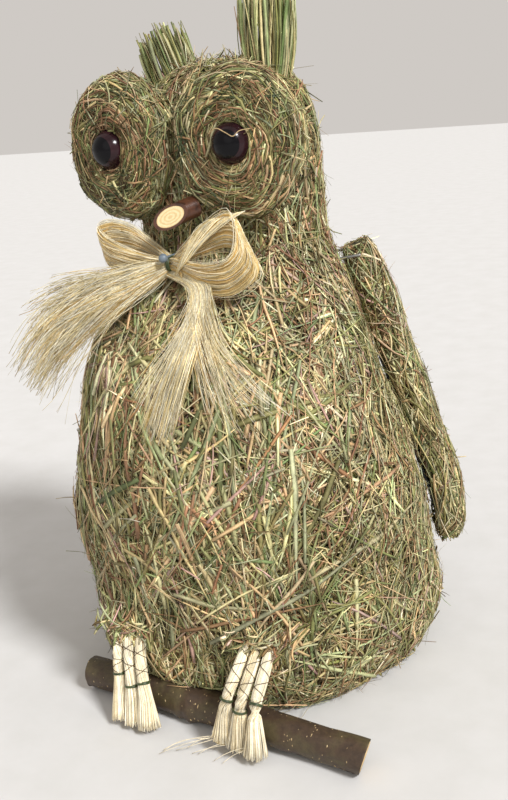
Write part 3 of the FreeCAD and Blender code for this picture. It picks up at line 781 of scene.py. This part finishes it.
def disc_winding(rng, side, surface, axes):
    """Wire laid over the front past the eye on all sides, and two turns round the rim."""
    centre, across, out = axes
    runs = []
    for k in range(26):
        a = rng.uniform(0, TURN)
        off = rng.uniform(12.5, 33) * rng.choice([-1, 1])
        s = np.linspace(-1, 1, 25) * math.sqrt(max(36.0 ** 2 - off ** 2, 40.0)) * 1.02
        x = s * math.cos(a) - off * math.sin(a)
        z = s * math.sin(a) + off * math.cos(a)
        r = np.sqrt((x / DISC_A) ** 2 + (z / DISC_B) ** 2)
        d = np.interp(r, DISC_ROWS[:7, 1], DISC_ROWS[:7, 2]) + 1.0 + 0.5 * np.sin(s / 4 + k)
        runs.append((centre + x[:, None] * across + z[:, None] * UP + d[:, None] * out, WIRE_R))
    ang = np.linspace(0, TURN, 61)
    for v in (1.12, 1.5):
        runs.append((surface(ang, v + 0.06 * np.sin(3 * ang)), 0.3))
    tube_piece("disc_%s_winding" % side, runs, WIRE_MAT, "body", "green_wire", ("disc_%s_wire" % side,), 5)


def build_disc(side):
    rng = np.random.default_rng(31 if side == "left" else 37)
    surface, axes = disc_surface(side), disc_axes(side)
    centre = axes[0]
    bundle = Bundle("hay_disc_%s" % side, HAY_MAT, "body", "hay_dark", ("disc_%s" % side,))
    disc_strands(rng, bundle, surface, axes)
    if side == "left":
        bundle.add(*eye_hair(axes))
    bundle.write()

    def under(u, v):
        return centre + (surface(u, v) - centre) * 0.9
    # Painted shade: a dark sheet just inside the disc's hay, standing in for the shade between the strands.
    grid_solid("hay_disc_%s_bed" % side, under, np.linspace(0, TURN, 96, endpoint=False),
               np.linspace(0.0, 2.4, 48), SHADE_BED_MAT, "body", "hay_dark")
    disc_winding(rng, side, surface, axes)


# ---- ears
# Root, tip, half width and half depth of each tuft.
EARS = {"left": ((28.5, 0, 362), (31, 2, 424), 17.5, 8), "right": ((-28.7, 0, 362), (-43, 1, 404), 16, 8)}
# Number of stalks, range of width, range of reach, how far they stray.
STALKS = ((88, (1.2, 2.6), (0.8, 1.0), 0.1), (110, (0.5, 1.2), (0.5, 1.03), 0.26))


def build_ear(side):
    rng = np.random.default_rng(41 if side == "left" else 43)
    root, tip = (np.array(q, float) for q in EARS[side][:2])
    half_w, half_d = EARS[side][2:]
    d = unit(tip - root)
    across = unit(np.array([d[2], 0, -d[0]]))
    deep = np.cross(d, across)
    length = np.linalg.norm(tip - root)
    bundle = Bundle("hay_ear_%s" % side, HAY_MAT, "body", "hay", ("ear_%s" % side,))
    rings = 9
    t = np.linspace(0, 1, rings)[None, :, None]
    for n, width, reach, stray in STALKS:
        a = rng.uniform(-1, 1, n)
        b = rng.uniform(-1, 1, n) * np.sqrt(np.maximum(1 - a * a, 0.05))
        far = rng.uniform(*reach, n) * (1 - 0.14 * a * a)
        root_b = b * (1 - stray) + rng.uniform(-1, 1, n) * stray
        a_end = np.clip(a + rng.normal(0, stray * 1.6, n), -1.05, 1.05)
        start = root - d * 7 + across * (a * 9.5)[:, None] + deep * (root_b * 6)[:, None]
        end = (root + d * (length * far)[:, None] + across * (a_end * half_w * 0.93)[:, None]
               + deep * (b * half_d)[:, None])
        bow = across * (a * 3.0 + rng.normal(0, 0.8, n))[:, None] + deep * rng.normal(0, 0.8, n)[:, None]
        path = start[:, None] * (1 - t) + end[:, None] * t + bow[:, None] * np.sin(np.pi * t)
        normal = unit(deep[None] * np.sign(b + 0.01)[:, None] + across[None] * rng.normal(0, 0.7, (n, 1)))
        w = np.repeat(rng.uniform(*width, (n, 1)), rings, 1) * (0.85 + 0.15 * t[..., 0])
        w = w * np.where(t[..., 0] > 0.9, rng.uniform(0.45, 1.0, (n, 1)), 1.0)
        tint = hay_tints(rng, n, MIX_EAR)
        bundle.add(path, np.repeat(normal[:, None], rings, 1), w, w * 0.3, tint)
    bundle.write()


# ---- wings
WING_LAYERS = ((Layer(1500, (22, 70), (1.4, 2.9), (-3.0, -0.8), 0.0, 0.1, 0.3, 7), along),
               (Layer(1300, (18, 50), (0.9, 2.0), (-1.8, 0.4), 0.3, 0.1, 0.3, 7), crossed),
               (Layer(620, (25, 70), (0.5, 1.5), (-0.8, 0.9), 0.5, 0.1, 0.3, 7), along),
               (Layer(140, (10, 28), (0.4, 0.9), (-0.4, 0.8), 3.0, 0.1, 0.3, 7), crossed))


def on_board(p, axes):
    """Which points lie over the board on the wing's inner face."""
    front, thick, chord, down = axes
    rel = p - front
    v = np.clip(rel @ down / WING_LEN, 0, 1)
    a = column(WING_ROWS, 1, v)
    y = rel @ chord
    return (rel @ thick < -8) & (y > 0.13 * a) & (y < 1.8 * a) & (v > 0.31) & (v < 0.93)


def build_wing(side):
    rng = np.random.default_rng(53 if side == "left" else 59)
    surface = wing_surface(side)
    body = "wing_%s" % side
    patch = Patch(surface, SIDES[side], (0, TURN), (0.015, 0.985), 0.01, 0.003)
    bundle = Bundle("hay_wing_%s" % side, HAY_MAT, body, "hay", ("wing_%s_hay" % side,))
    for layer, angle in WING_LAYERS:
        path, norm = drape(rng, patch, layer, angle)
        free = on_board(path, wing_axes(SIDES[side])).sum(1) < 2
        n = int(free.sum())
        w, t = profile(rng, n, layer.rings, layer.width)
        bundle.add(path[free], norm[free], w, t, hay_tints(rng, n, MIX_BODY))
    bundle.write()
    # Painted shade: a dark sheet just inside the wing's hay, standing in for the shade between the strands.
    grid_solid("hay_wing_%s_bed" % side, wing_surface(side, 3.6), np.linspace(0, TURN, 72, endpoint=False),
               np.linspace(0.02, 0.98, 60), SHADE_BED_MAT, body, "hay")
    ang = np.linspace(0, TURN, 73)
    runs = [(surface(ang, v + 0.012 * np.sin(ang * 2 + v * 9)), 0.3) for v in (0.2, 0.42, 0.66, 0.85)]
    tube_piece("wing_%s_winding" % side, runs, WIRE_MAT, body, "green_wire", ("wing_%s_wire" % side,), 5)


# ---- bow
SISAL = np.array([(238, 218, 164), (224, 192, 126), (246, 235, 200), (208, 170, 100), (251, 245, 222)],
                 float)
# Shares of the five SISAL colours.
GOLDEN, PALE = (0.26, 0.4, 0.08, 0.24, 0.02), (0.34, 0.06, 0.32, 0.02, 0.26)
SIDE_TONES, CHEST_TONES = (0.4, 0.06, 0.34, 0.04, 0.16), (0.38, 0.04, 0.34, 0.02, 0.22)

# A band of fibre: centre line, half width and half depth vectors at each control point.
Band = namedtuple("Band", "centre wide deep")


def local(points):
    """(outwards along ACROSS, up, forwards) from the knot to object space."""
    p = np.asarray(points, float)
    return KNOT + p[:, :1] * ACROSS + p[:, 1:2] * UP + p[:, 2:] * FACE


def direction_rows(rows):
    return local(rows) - KNOT


def local_band(centre, wide, deep):
    return Band(local(centre), direction_rows(wide), direction_rows([deep] * len(centre)))


LOOPS = {"left": local_band([(1, 0, 3), (13, -3, 8), (28, -7, 11.5), (43, -6, 11), (53, 3, 8.5), (51, 14, 6),
                             (40, 19, 4), (25, 14, 3), (10, 6, 3), (1, 1, 1)],
                            [(0, 2.6, 1), (0, 5, 1), (0, 8, 1.5), (-1, 9, 1.5), (-5, 8, 0.5), (-4, 9, 0),
                             (0, 9, 0), (0, 7, 0), (0, 4, 0), (0, 2.2, 0)], (0, 0, 1.8)),
         "right": local_band([(-1, 0, 3), (-13, 1, 9), (-27, 4, 12), (-39, 8, 10), (-44, 13, 6),
                              (-39, 16, 2), (-27, 14, 0), (-14, 8, 0), (-1, 1, 1)],
                             [(0, 2.6, 1), (0, 5, 1), (-1, 7.5, 1), (-2, 8.5, 0), (-1.5, 8, 0), (0, 7, 0),
                              (0, 6, 0), (0, 4, 0), (0, 2.2, 0)], (0, 0, 1.8))}
# Fibres that have slipped across the front of the owl's left loop.
SLIPPED = local_band([(40, 27, 4), (32, 22, 8), (23, 12, 11.5), (14, 1, 12), (7, -4, 9)],
                     [(11, 2, 0), (10, 2, 0), (7, 3, 0), (4, 3, 0), (1.5, 2, 0)], (0, 0, 1))
GATHER = local_band([(-11, 0, 6), (-5, 0, 3), (0, 0, 2.5), (5, 0, 3), (11, -3, 7)],
                    [(0, 4.4, 0), (0, 3.6, 0), (0, 3.3, 0), (0, 3.6, 0), (0, 4.4, 0)], (0, 0, 3.5))
SIDE_TAIL = Band([KNOT + FACE * 2, (-24, -87, 265), (-45, -96, 255), (-70, -105, 236), (-93, -110, 207)],
                 np.array([(0.5, 0, -2.4), (3, 0, -6), (5, 0, -9), (7, 0, -10.5), (8, 0, -10)]),
                 np.array([(0, 2, 0), (0, 2.5, 0), (0, 3, 0), (0, 4, 0), (0, 6, 0)]))
SIDE_WISP = [KNOT + FACE * 2, (-34, -86, 268), (-66, -95, 262), (-98, -99, 247)]
TAIL_START = [KNOT + FACE * 4 + UP * -3, (11, -84, 264), (17.5, -92, 257)]
CHEST_TAIL = Band(TAIL_START + [(17, -102, 244), (13, -115, 226), (7, -123.5, 206), (0, -128, 184)],
                  np.array([(4, 0, 1), (5, 0, 1), (5, 0, 0), (6, 0, 0), (7, 0, 0), (7.5, 0, 0), (8, 0, 0)]),
                  np.array([(0, 2, 1), (0, 2, 1), (0, 2.5, 1), (0, 2.5, 1), (0, 2.5, 0.5), (0, 2.5, 0),
                            (0, 3, 0)]))
CHEST_WISPS = (([(28, -106, 240), (42, -113, 224), (57, -116, 210), (74, -112, 196)], 100),
               ([(23, -106, 240), (33, -118, 220), (40, -123, 204), (47, -124, 188)], 90),
               ([(12, -106, 240), (1, -116, 222), (-6, -122, 208), (-13, -126, 192)], 50))


def fibres(rng, band, count, rings, width, tone, reach=(1.0, 1.0), wave=0.5, fray=0.0):
    """Strands that follow a band; fray spreads them towards their ends."""
    last = 63
    c, w, t = (catmull(rows, last + 1) for rows in band)
    a = rng.uniform(-1, 1, count)
    b = rng.uniform(-1, 1, count)
    stop = rng.uniform(*reach, count)
    s = np.linspace(0, 1, rings)[None] * stop[:, None] * last
    k = s / last
    drift = rng.normal(0, 1, (count, 1)) * k ** 2 * fray
    swing = np.sin(k * rng.uniform(3, 9, (count, 1)) + rng.uniform(0, 6, (count, 1)))
    aa = a[:, None] + drift + wave * 0.08 * swing
    bb = b[:, None] + rng.normal(0, 1, (count, 1)) * k ** 2 * fray * 0.7
    path = sample(c, s) + aa[..., None] * sample(w, s) + bb[..., None] * sample(t, s)
    normal = unit(sample(t, s) + rng.normal(0, 0.4, (count, 1, 3)))
    wd = np.repeat(rng.uniform(*width, (count, 1)), rings, 1)
    tint = linear(SISAL)[rng.choice(5, count, p=tone)] * np.exp(rng.normal(0, 0.17, (count, 1)))
    return path, normal, wd, wd * 0.6, tint


def bow_bundle(name, node):
    return Bundle(name, SISAL_MAT, "bow", "sisal", (node,))


def build_loops(rng):
    for side, band in LOOPS.items():
        bundle = bow_bundle("bow_loop_%s_fibres" % side, "bow_loop_%s" % side)
        bundle.add(*fibres(rng, band, 940, 26, (0.24, 0.45), GOLDEN))
        puffed = Band(band.centre, band.wide * 1.12, band.deep * 1.5)
        bundle.add(*fibres(rng, puffed, 110, 26, (0.2, 0.3), PALE, wave=3.0))
        if side == "left":
            bundle.add(*fibres(rng, SLIPPED, 120, 14, (0.2, 0.4), PALE, (0.6, 1.0), 2.0, 0.1))
        bundle.write()


def build_tails(rng):
    wide, deep = SIDE_TAIL.wide, SIDE_TAIL.deep
    right = bow_bundle("bow_tail_right_fibres", "bow_tail_right")
    right.add(*fibres(rng, SIDE_TAIL, 520, 18, (0.2, 0.36), SIDE_TONES, (0.55, 1.0), 3.0, 0.34))
    loose = Band(SIDE_TAIL.centre, wide * 1.25, deep * 1.4)
    right.add(*fibres(rng, loose, 130, 18, (0.18, 0.3), PALE, (0.7, 1.0), 5.0, 0.6))
    wisp = Band(SIDE_WISP, wide[:4] * 0.7, deep[:4])
    right.add(*fibres(rng, wisp, 80, 16, (0.18, 0.32), PALE, (0.6, 1.0), 3.5, 0.6))
    right.write()
    left = bow_bundle("bow_tail_left_fibres", "bow_tail_left")
    left.add(*fibres(rng, CHEST_TAIL, 400, 20, (0.2, 0.36), CHEST_TONES, (0.6, 1.0), 3.0, 0.34))
    for ends, n in CHEST_WISPS:
        wisp = Band(TAIL_START + ends, CHEST_TAIL.wide * 1.1, CHEST_TAIL.deep)
        left.add(*fibres(rng, wisp, n, 20, (0.16, 0.3), PALE, (0.55, 1.0), 3.5, 0.7))
    left.write()


def build_bow():
    rng = np.random.default_rng(67)
    build_loops(rng)
    build_tails(rng)
    knot = bow_bundle("bow_knot_fibres", "bow_knot")
    knot.add(*fibres(rng, GATHER, 300, 12, (0.3, 0.55), GOLDEN))
    knot.write()
    turn = np.linspace(0, TURN * 2.6, 70)
    coil = local(np.stack([np.linspace(-1.0, 1.0, 70), 4.4 * np.cos(turn), 2.5 + 4.8 * np.sin(turn)], -1))
    tube_piece("bow_tie", [(coil, 0.5)], WIRE_MAT, "bow", "green_wire", ("bow_tie_wire",))


# ---- feet
# Middle toe's top, middle and low end; gaps between toes at each; radius at the low end.
FEET = {"left": ((42.5, -109.8, 56), (38.5, -132.4, 33), (35.5, -136, 2.5), 7.4, 9.7, 11.4, 7.9),
        "right": ((-44.5, -108.8, 55), (-39.5, -120.4, 29), (-35.6, -127.4, 2.5), 7.2, 9.2, 9.9, 7.1)}
TOES = {"inner": -1, "middle": 0, "outer": 1}
# Length kept of each toe's fibres, and the place of its wire ring.
SHORT = {"left": (0.9, 0.94, 0.97), "right": (1.0, 1.0, 0.98)}
RING_AT = {"inner": 8.0, "middle": 9.0, "outer": 7.5}
BRUSH = ((250, 241, 216), (242, 228, 194), (226, 208, 168))
TOE_ROWS = 17
THREAD_OUT = 0.35

# Centre line, its direction, two directions across it, and the radius, at TOE_ROWS places.
Toe = namedtuple("Toe", "line along a b radius low")


def toe_shape(side, k):
    s = SIDES[side]
    top, mid, low, g0, g1, g2, flare = FEET[side]
    slope = math.tan(math.radians(BRANCH_YAW))
    top = np.array(top, float) + [s * k * g0, abs(k) * 0.6, 0]
    mid = np.array(mid, float) + [s * k * g1, s * k * g1 * slope, 0]
    low = np.array(low, float) + [s * k * g2, s * k * g2 * slope, 0]
    bend, shin = top * 0.5 + mid * 0.5 + (0, -1.5, 0.5), mid * 0.45 + low * 0.55
    line = catmull([top + (0, 2.5, 4), bend, mid, shin, low], TOE_ROWS)
    radius = catmull([[2.7], [3.3], [3.3], [5.3], [flare]], TOE_ROWS)
    t = unit(np.gradient(line, axis=0))
    a = unit(np.cross(t, UP + np.array([0.0, 0.4, 0.0])))
    return Toe(line, t, a, np.cross(a, t), radius, low)


def toe_fibres(rng, toe, shorten):
    n, rings = 260, 12
    ang = rng.uniform(0, TURN, n)
    rr = np.sqrt(rng.uniform(0.35, 1, n))
    cut = rng.uniform(0.93, 1.0, n) * shorten
    s = np.linspace(0, 1, rings)[None] * cut[:, None] * (TOE_ROWS - 1)
    twist = (ang[:, None] + 0.25 * np.sin(s / 5 + ang[:, None]))[..., None]
    rad = sample(toe.radius, s) * rr[:, None, None]
    path = sample(toe.line, s) + rad * (np.cos(twist) * sample(toe.a, s) + np.sin(twist) * sample(toe.b, s))
    path[..., 2] = np.maximum(path[..., 2], 0.4)
    normal = unit(path - sample(toe.line, s))
    w = np.repeat(rng.uniform(0.35, 0.7, (n, 1)), rings, 1)
    tone = linear(np.array(BRUSH))[rng.choice(3, n, p=(.5, .35, .15))]
    return path, normal, w, w * 0.55, tone * np.exp(rng.normal(0, 0.07, (n, 1)))


def loose_fibres(rng, low, n):
    """Long pale fibres that have come out of a toe and lie towards the ground."""
    start = low + rng.uniform(-2.5, 2.5, (n, 3)) + UP * 6
    end = low + np.stack([rng.uniform(-34, -8, n), rng.uniform(-15, -3, n), np.full(n, -1.2)], 1)
    over = (start + end) / 2 + np.stack([rng.normal(0, 3, n), rng.normal(0, 3, n), rng.uniform(0, 8, n)], 1)
    path = bezier(start, over, end, 10)
    path[..., 2] = np.maximum(path[..., 2], 0.6)
    w = np.full((n, 10), 0.38)
    return path, np.tile(UP + 0.01, (n, 10, 1)), w, w * 0.6, np.tile(linear((238, 226, 196)), (n, 1))


def toe_core(toe):
    """Surface just inside the outer fibres."""
    def point(u, v):
        cross = np.cos(u)[..., None] * sample(toe.a, v) + np.sin(u)[..., None] * sample(toe.b, v)
        return sample(toe.line, v) + 0.72 * sample(toe.radius, v) * cross
    return point


def toe_shade_lacing(toe, k):
    """Painted shade: two dark threads that cross each other down the bound part, standing in for the shade
    in the gaps between the toes.
    """
    turn = np.linspace(0, 1, 60)
    pos = 0.6 + turn * 6.6
    i = pos.astype(int)
    runs = []
    for way in (-1, 1):
        th = (way * (turn * TURN * 2.6 + k) + 0.8)[:, None]
        rim = (sample(toe.radius, pos) + THREAD_OUT) * (np.cos(th) * toe.a[i] + np.sin(th) * toe.b[i])
        runs.append((sample(toe.line, pos) + rim, 0.2))
    return runs


def toe_ring(toe, level):
    i = int(level)
    th = np.linspace(0, TURN * 2.2, 50)[:, None]
    rise = np.linspace(-0.5, 0.5, 50)[:, None]
    centre = sample(toe.line, np.array(level))
    rim = (toe.radius[i] + THREAD_OUT) * (np.cos(th) * toe.a[i] + np.sin(th) * toe.b[i])
    return centre + rise * toe.along[i] + rim, 0.5


def foot_fringe(rng, side):
    """Hay that hangs over the tops of the toes."""
    top = np.array(FEET[side][0], float)
    n, rings = 75, 7
    x = rng.uniform(-20, 20, n)
    fall = rng.uniform(-4, 13, n)
    start = top + np.stack([x + rng.normal(0, 9, n), rng.uniform(4, 10, n), rng.uniform(2, 16, n)], 1)
    over = top + np.stack([x * 0.95 + rng.normal(0, 2, n), rng.uniform(-6, -3.5, n),
                           rng.uniform(2, 8, n)], 1)
    sway = np.clip(rng.normal(0, 9, n), -13, 13)
    end = over + np.stack([sway, rng.uniform(-3.5, 0.5, n), -fall], 1)
    end[:, 0] = np.clip(end[:, 0], top[0] - 21, top[0] + 24)
    normal = unit(np.array([0, -1.0, 0.25]) + rng.normal(0, 0.35, (n, 1, 3)) + np.zeros((n, rings, 3)))
    w, thin = profile(rng, n, rings, (0.7, 2.0))
    fringe = Bundle("hay_foot_%s_fringe" % side, HAY_MAT, "body", "hay")
    fringe.add(bezier(start, over, end, rings), normal, w, thin, hay_tints(rng, n, MIX_BODY))
    fringe.write()


def build_foot(side):
    rng = np.random.default_rng(71 if side == "left" else 73)
    shade_threads, rings = [], []
    for name, k in TOES.items():
        toe = toe_shape(side, k)
        node = "toe_%s_%s" % (side, name)
        bundle = Bundle(node + "_fibres", BRUSH_MAT, "body", "brush", (node,))
        bundle.add(*toe_fibres(rng, toe, SHORT[side][k + 1]))
        if side == "left":
            bundle.add(*loose_fibres(rng, toe.low, 5 if name == "inner" else 2))
        bundle.write()
        grid_solid(node + "_core", toe_core(toe), np.linspace(0, TURN, 20, endpoint=False),
                   np.linspace(0, 14.6, 24), CORE_MAT, "body", "brush")
        shade_threads += toe_shade_lacing(toe, k)
        rings.append(toe_ring(toe, RING_AT[name]))
    foot_fringe(rng, side)
    # Painted shade: the dark laced threads stand in for the shade between the toes.
    tube_piece("foot_%s_lacing" % side, shade_threads, SHADE_THREAD_MAT, "body", "green_wire", (), 5)
    tube_piece("foot_%s_ties" % side, rings, WIRE_MAT, "body", "green_wire", ("foot_%s_rings" % side,))


# ---- branch
def branch_shape(u, v, grow=1.0):
    """Slightly crooked round stick; u is the angle round it, v the distance along it."""
    centre, axis = branch_axis()
    across = np.array([-axis[1], axis[0], 0.0])
    bump = 0.35 * np.sin(2 * u + v / 23) + 0.3 * np.sin(3 * u - v / 14 + 1) + 0.16 * np.sin(7 * u + v / 5)
    scar = (1.6 * np.exp(-((v + 4) / 3.2) ** 2) + 0.8 * np.exp(-((v + 13) / 3.0) ** 2)
            + 0.7 * np.exp(-((v - 62) / 6.0) ** 2))
    r = (BRANCH_R - 0.9 + bump + scar * (0.5 + 0.5 * np.cos(u - 4.2))) * grow
    lift = 0.6 * np.sin((v + 90) / 62)
    return (centre + v[..., None] * axis + (r * np.cos(u))[..., None] * across
            + (r * np.sin(u) + lift)[..., None] * UP)


def sawn(p, back, on_ground):
    """Cuts both ends off on a slope; back is how far inside the wood's own cuts."""
    centre, axis = branch_axis()
    rel = p - centre
    v, q = rel @ axis, rel @ np.array([-axis[1], axis[0], 0.0])
    left = BRANCH_X0 + (20 - q) * math.tan(math.radians(24)) * 0.5 + 0.5 + back
    right = BRANCH_X1 - back - 0.28 * q + 0.34 * rel[:, 2]
    out = p + (np.clip(v, left, right) - v)[:, None] * axis
    if on_ground:
        out[:, 2] = np.maximum(out[:, 2], 0.0)
    return out


def branch_specks(rng, count=340, sides=8):
    """Low pointed lenticels all over the bark."""
    axis = branch_axis()[1]
    across = np.array([-axis[1], axis[0], 0.0])
    u, v = rng.uniform(0, TURN, count), rng.uniform(-88, 106, count)
    size = rng.uniform(0.4, 1.0, count)
    ring = np.linspace(0, TURN, sides, endpoint=False)[:, None]
    j = np.arange(sides)
    nxt = (j + 1) % sides
    fans = np.stack([j, nxt, np.full(sides, sides), nxt, j, np.full(sides, sides + 1)], -1).reshape(-1, 3)
    parts = []
    for k in range(count):
        c = branch_shape(u[k:k + 1], v[k:k + 1])[0]
        radial = unit(across * math.cos(u[k]) + UP * math.sin(u[k]))
        stretch = rng.uniform(0.6, 1.8)
        oval = np.cos(ring) * axis * 0.7 + np.sin(ring) * np.cross(axis, radial) * stretch
        verts = np.concatenate([c - radial * 0.25 + size[k] * oval, [c + radial * 0.28], [c - radial * 0.6]])
        parts.append((verts, np.zeros((0, 4), int), fans))
    verts, quads, tris = merge(parts)
    verts[:, 2] = np.maximum(verts[:, 2], 0.0)
    material = plain_material("lenticel", tones((150, 124, 84), (206, 184, 140)), 300.0, 0.7)
    mesh = make_mesh("branch_specks", verts, quads, tris, NEUTRAL)
    add_piece("branch_specks", mesh, material, "body", "branch_bark")


def build_branch():
    centre, axis = branch_axis()
    vs = np.concatenate([[-94.0], np.linspace(-92.5, 117, 156), [118.0]])
    grid_solid("branch_bark_skin", branch_shape, np.linspace(0, TURN, 64, endpoint=False), vs,
               bark_material(), "body", "branch_bark", ("branch_bark",), fix=lambda p: sawn(p, 0.5, True))
    wood = twig_face("branch_cut", centre, axis, (222, 196, 148), (196, 162, 112))
    grid_solid("branch_cut_wood", lambda u, v: branch_shape(u, v, 0.86),
               np.linspace(0, TURN, 48, endpoint=False), np.array([-95.0, -90, -80, 0, 100, 108, 119.0]),
               wood, "body", "branch_wood", ("branch_wood",), fix=lambda p: sawn(p, 0.25, False))
    branch_specks(np.random.default_rng(79))


# ---- carried-over CAD nodes
BEAK_FACE = (-2.6, -78.8, 299)


def beak_axis():
    """Direction of the beak's twig, which is cut at a slant."""
    normal = unit(np.array([0.30, -0.93, 0.20]))
    longest = np.array([0.86, 0.33, 0.44])
    longest = unit(longest - normal * (longest @ normal))
    return unit(normal * 0.6 - longest * 0.8)


def node_materials():
    brown = plain_material("eye_brown", tones((26, 12, 16), (48, 24, 29)), 90.0, 0.17,
                           Specular_IOR_Level=0.3)
    black = plain_material("eye_black", tones((3, 3, 6), (8, 7, 11)), 60.0, 0.2, Specular_IOR_Level=0.2)
    plastic = plain_material("black_plastic", tones((20, 20, 20), (36, 36, 36)), 80.0, 0.5)
    steel = plain_material("steel_wire", tones((120, 120, 118), (176, 174, 170)), 90.0, 0.35, Metallic=1.0)
    pin = plain_material("pin_head", tones((86, 96, 106), (120, 132, 142)), 200.0, 0.35)
    straw = plain_material("packed_straw", tones((150, 124, 70), (206, 180, 120)), 120.0, 0.8, 0.4)
    dowel = plain_material("dowel_wood", tones((176, 140, 96), (206, 176, 130)), 60.0, 0.6, 0.2)
    stops = [(0.3, linear((44, 24, 16))), (0.5, linear((84, 50, 33))), (0.7, linear((60, 36, 24)))]
    bark = plain_material("beak_bark", stops, 220.0, 0.3, 0.35, 0.0004)
    beak = twig_face("beak_wood", BEAK_FACE, beak_axis(), (226, 205, 158), (210, 183, 131))
    found = {"eye_washers": plastic, "beak_pin": steel, "branch_pegs": steel, "bow_pin": pin,
             "body_core": straw, "head_core": straw, "neck_dowel": dowel, "beak_wood": beak,
             "beak_bark": bark}
    per_side = {"eye_%s": brown, "eye_%s_pupil": black, "eye_%s_stem": plastic, "foot_%s_spikes": steel,
                "wing_%s_staple": steel, "wing_%s_board": speckled_board()}
    for side in SIDES:
        found.update({name % side: material for name, material in per_side.items()})
    return found


def repaint_nodes():
    for node, material in node_materials().items():
        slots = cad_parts[node].data.materials
        slots.clear()
        slots.append(material)


# ---- stage
# Name, strength, angular size in radians and where the light comes from.
LIGHTS = (("key", 3.5, 0.22, (1.03, -0.54, 1.03)), ("fill", 0.25, 0.9, (0.1, -0.9, 0.5)))


def build_stage():
    bpy.ops.mesh.primitive_plane_add(size=12)
    floor = bpy.context.object
    floor.name = "floor"
    floor.data.materials.append(plain_material("floor", tones((204, 203, 201), (210, 209, 208)), 30.0, 0.85))
    world = bpy.data.worlds.new("world")
    world.use_nodes = True
    background = world.node_tree.nodes["Background"]
    background.inputs["Color"].default_value = (0.76, 0.72, 0.68, 1)
    background.inputs["Strength"].default_value = 0.82
    bpy.context.scene.world = world
    for name, energy, size, place in LIGHTS:
        lamp = bpy.data.lights.new(name, "SUN")
        lamp.energy = energy
        lamp.angle = size
        ob = bpy.data.objects.new(name, lamp)
        ob.rotation_euler = Vector(place).to_track_quat("Z", "Y").to_euler()
        ob.location = Vector(place) * 3
        bpy.context.scene.collection.objects.link(ob)
    bpy.context.scene.view_settings.view_transform = "Standard"


def build_camera():
    az, el, roll = (math.radians(q) for q in (CAMERA_AZ, CAMERA_EL, CAMERA_ROLL))
    back = Vector((math.sin(az) * math.cos(el), -math.cos(az) * math.cos(el), math.sin(el)))
    right = Vector((math.cos(az), math.sin(az), 0))
    up = back.cross(right)
    rolled_right = right * math.cos(roll) + up * math.sin(roll)
    rolled_up = up * math.cos(roll) - right * math.sin(roll)
    cam = bpy.data.cameras.new("camera")
    cam.lens = CAMERA_LENS
    cam.sensor_width = 36
    cam.clip_end = 50
    ob = bpy.data.objects.new("camera", cam)
    ob.matrix_world = Matrix((rolled_right, rolled_up, back)).transposed().to_4x4()
    ob.location = Vector(CAMERA_POS) * MM
    bpy.context.scene.collection.objects.link(ob)
    bpy.context.scene.camera = ob


build_camera()
build_body()
build_head()
for side_name in SIDES:
    build_disc(side_name)
    build_ear(side_name)
    build_wing(side_name)
    build_foot(side_name)
build_bow()
build_branch()
repaint_nodes()
build_stage()
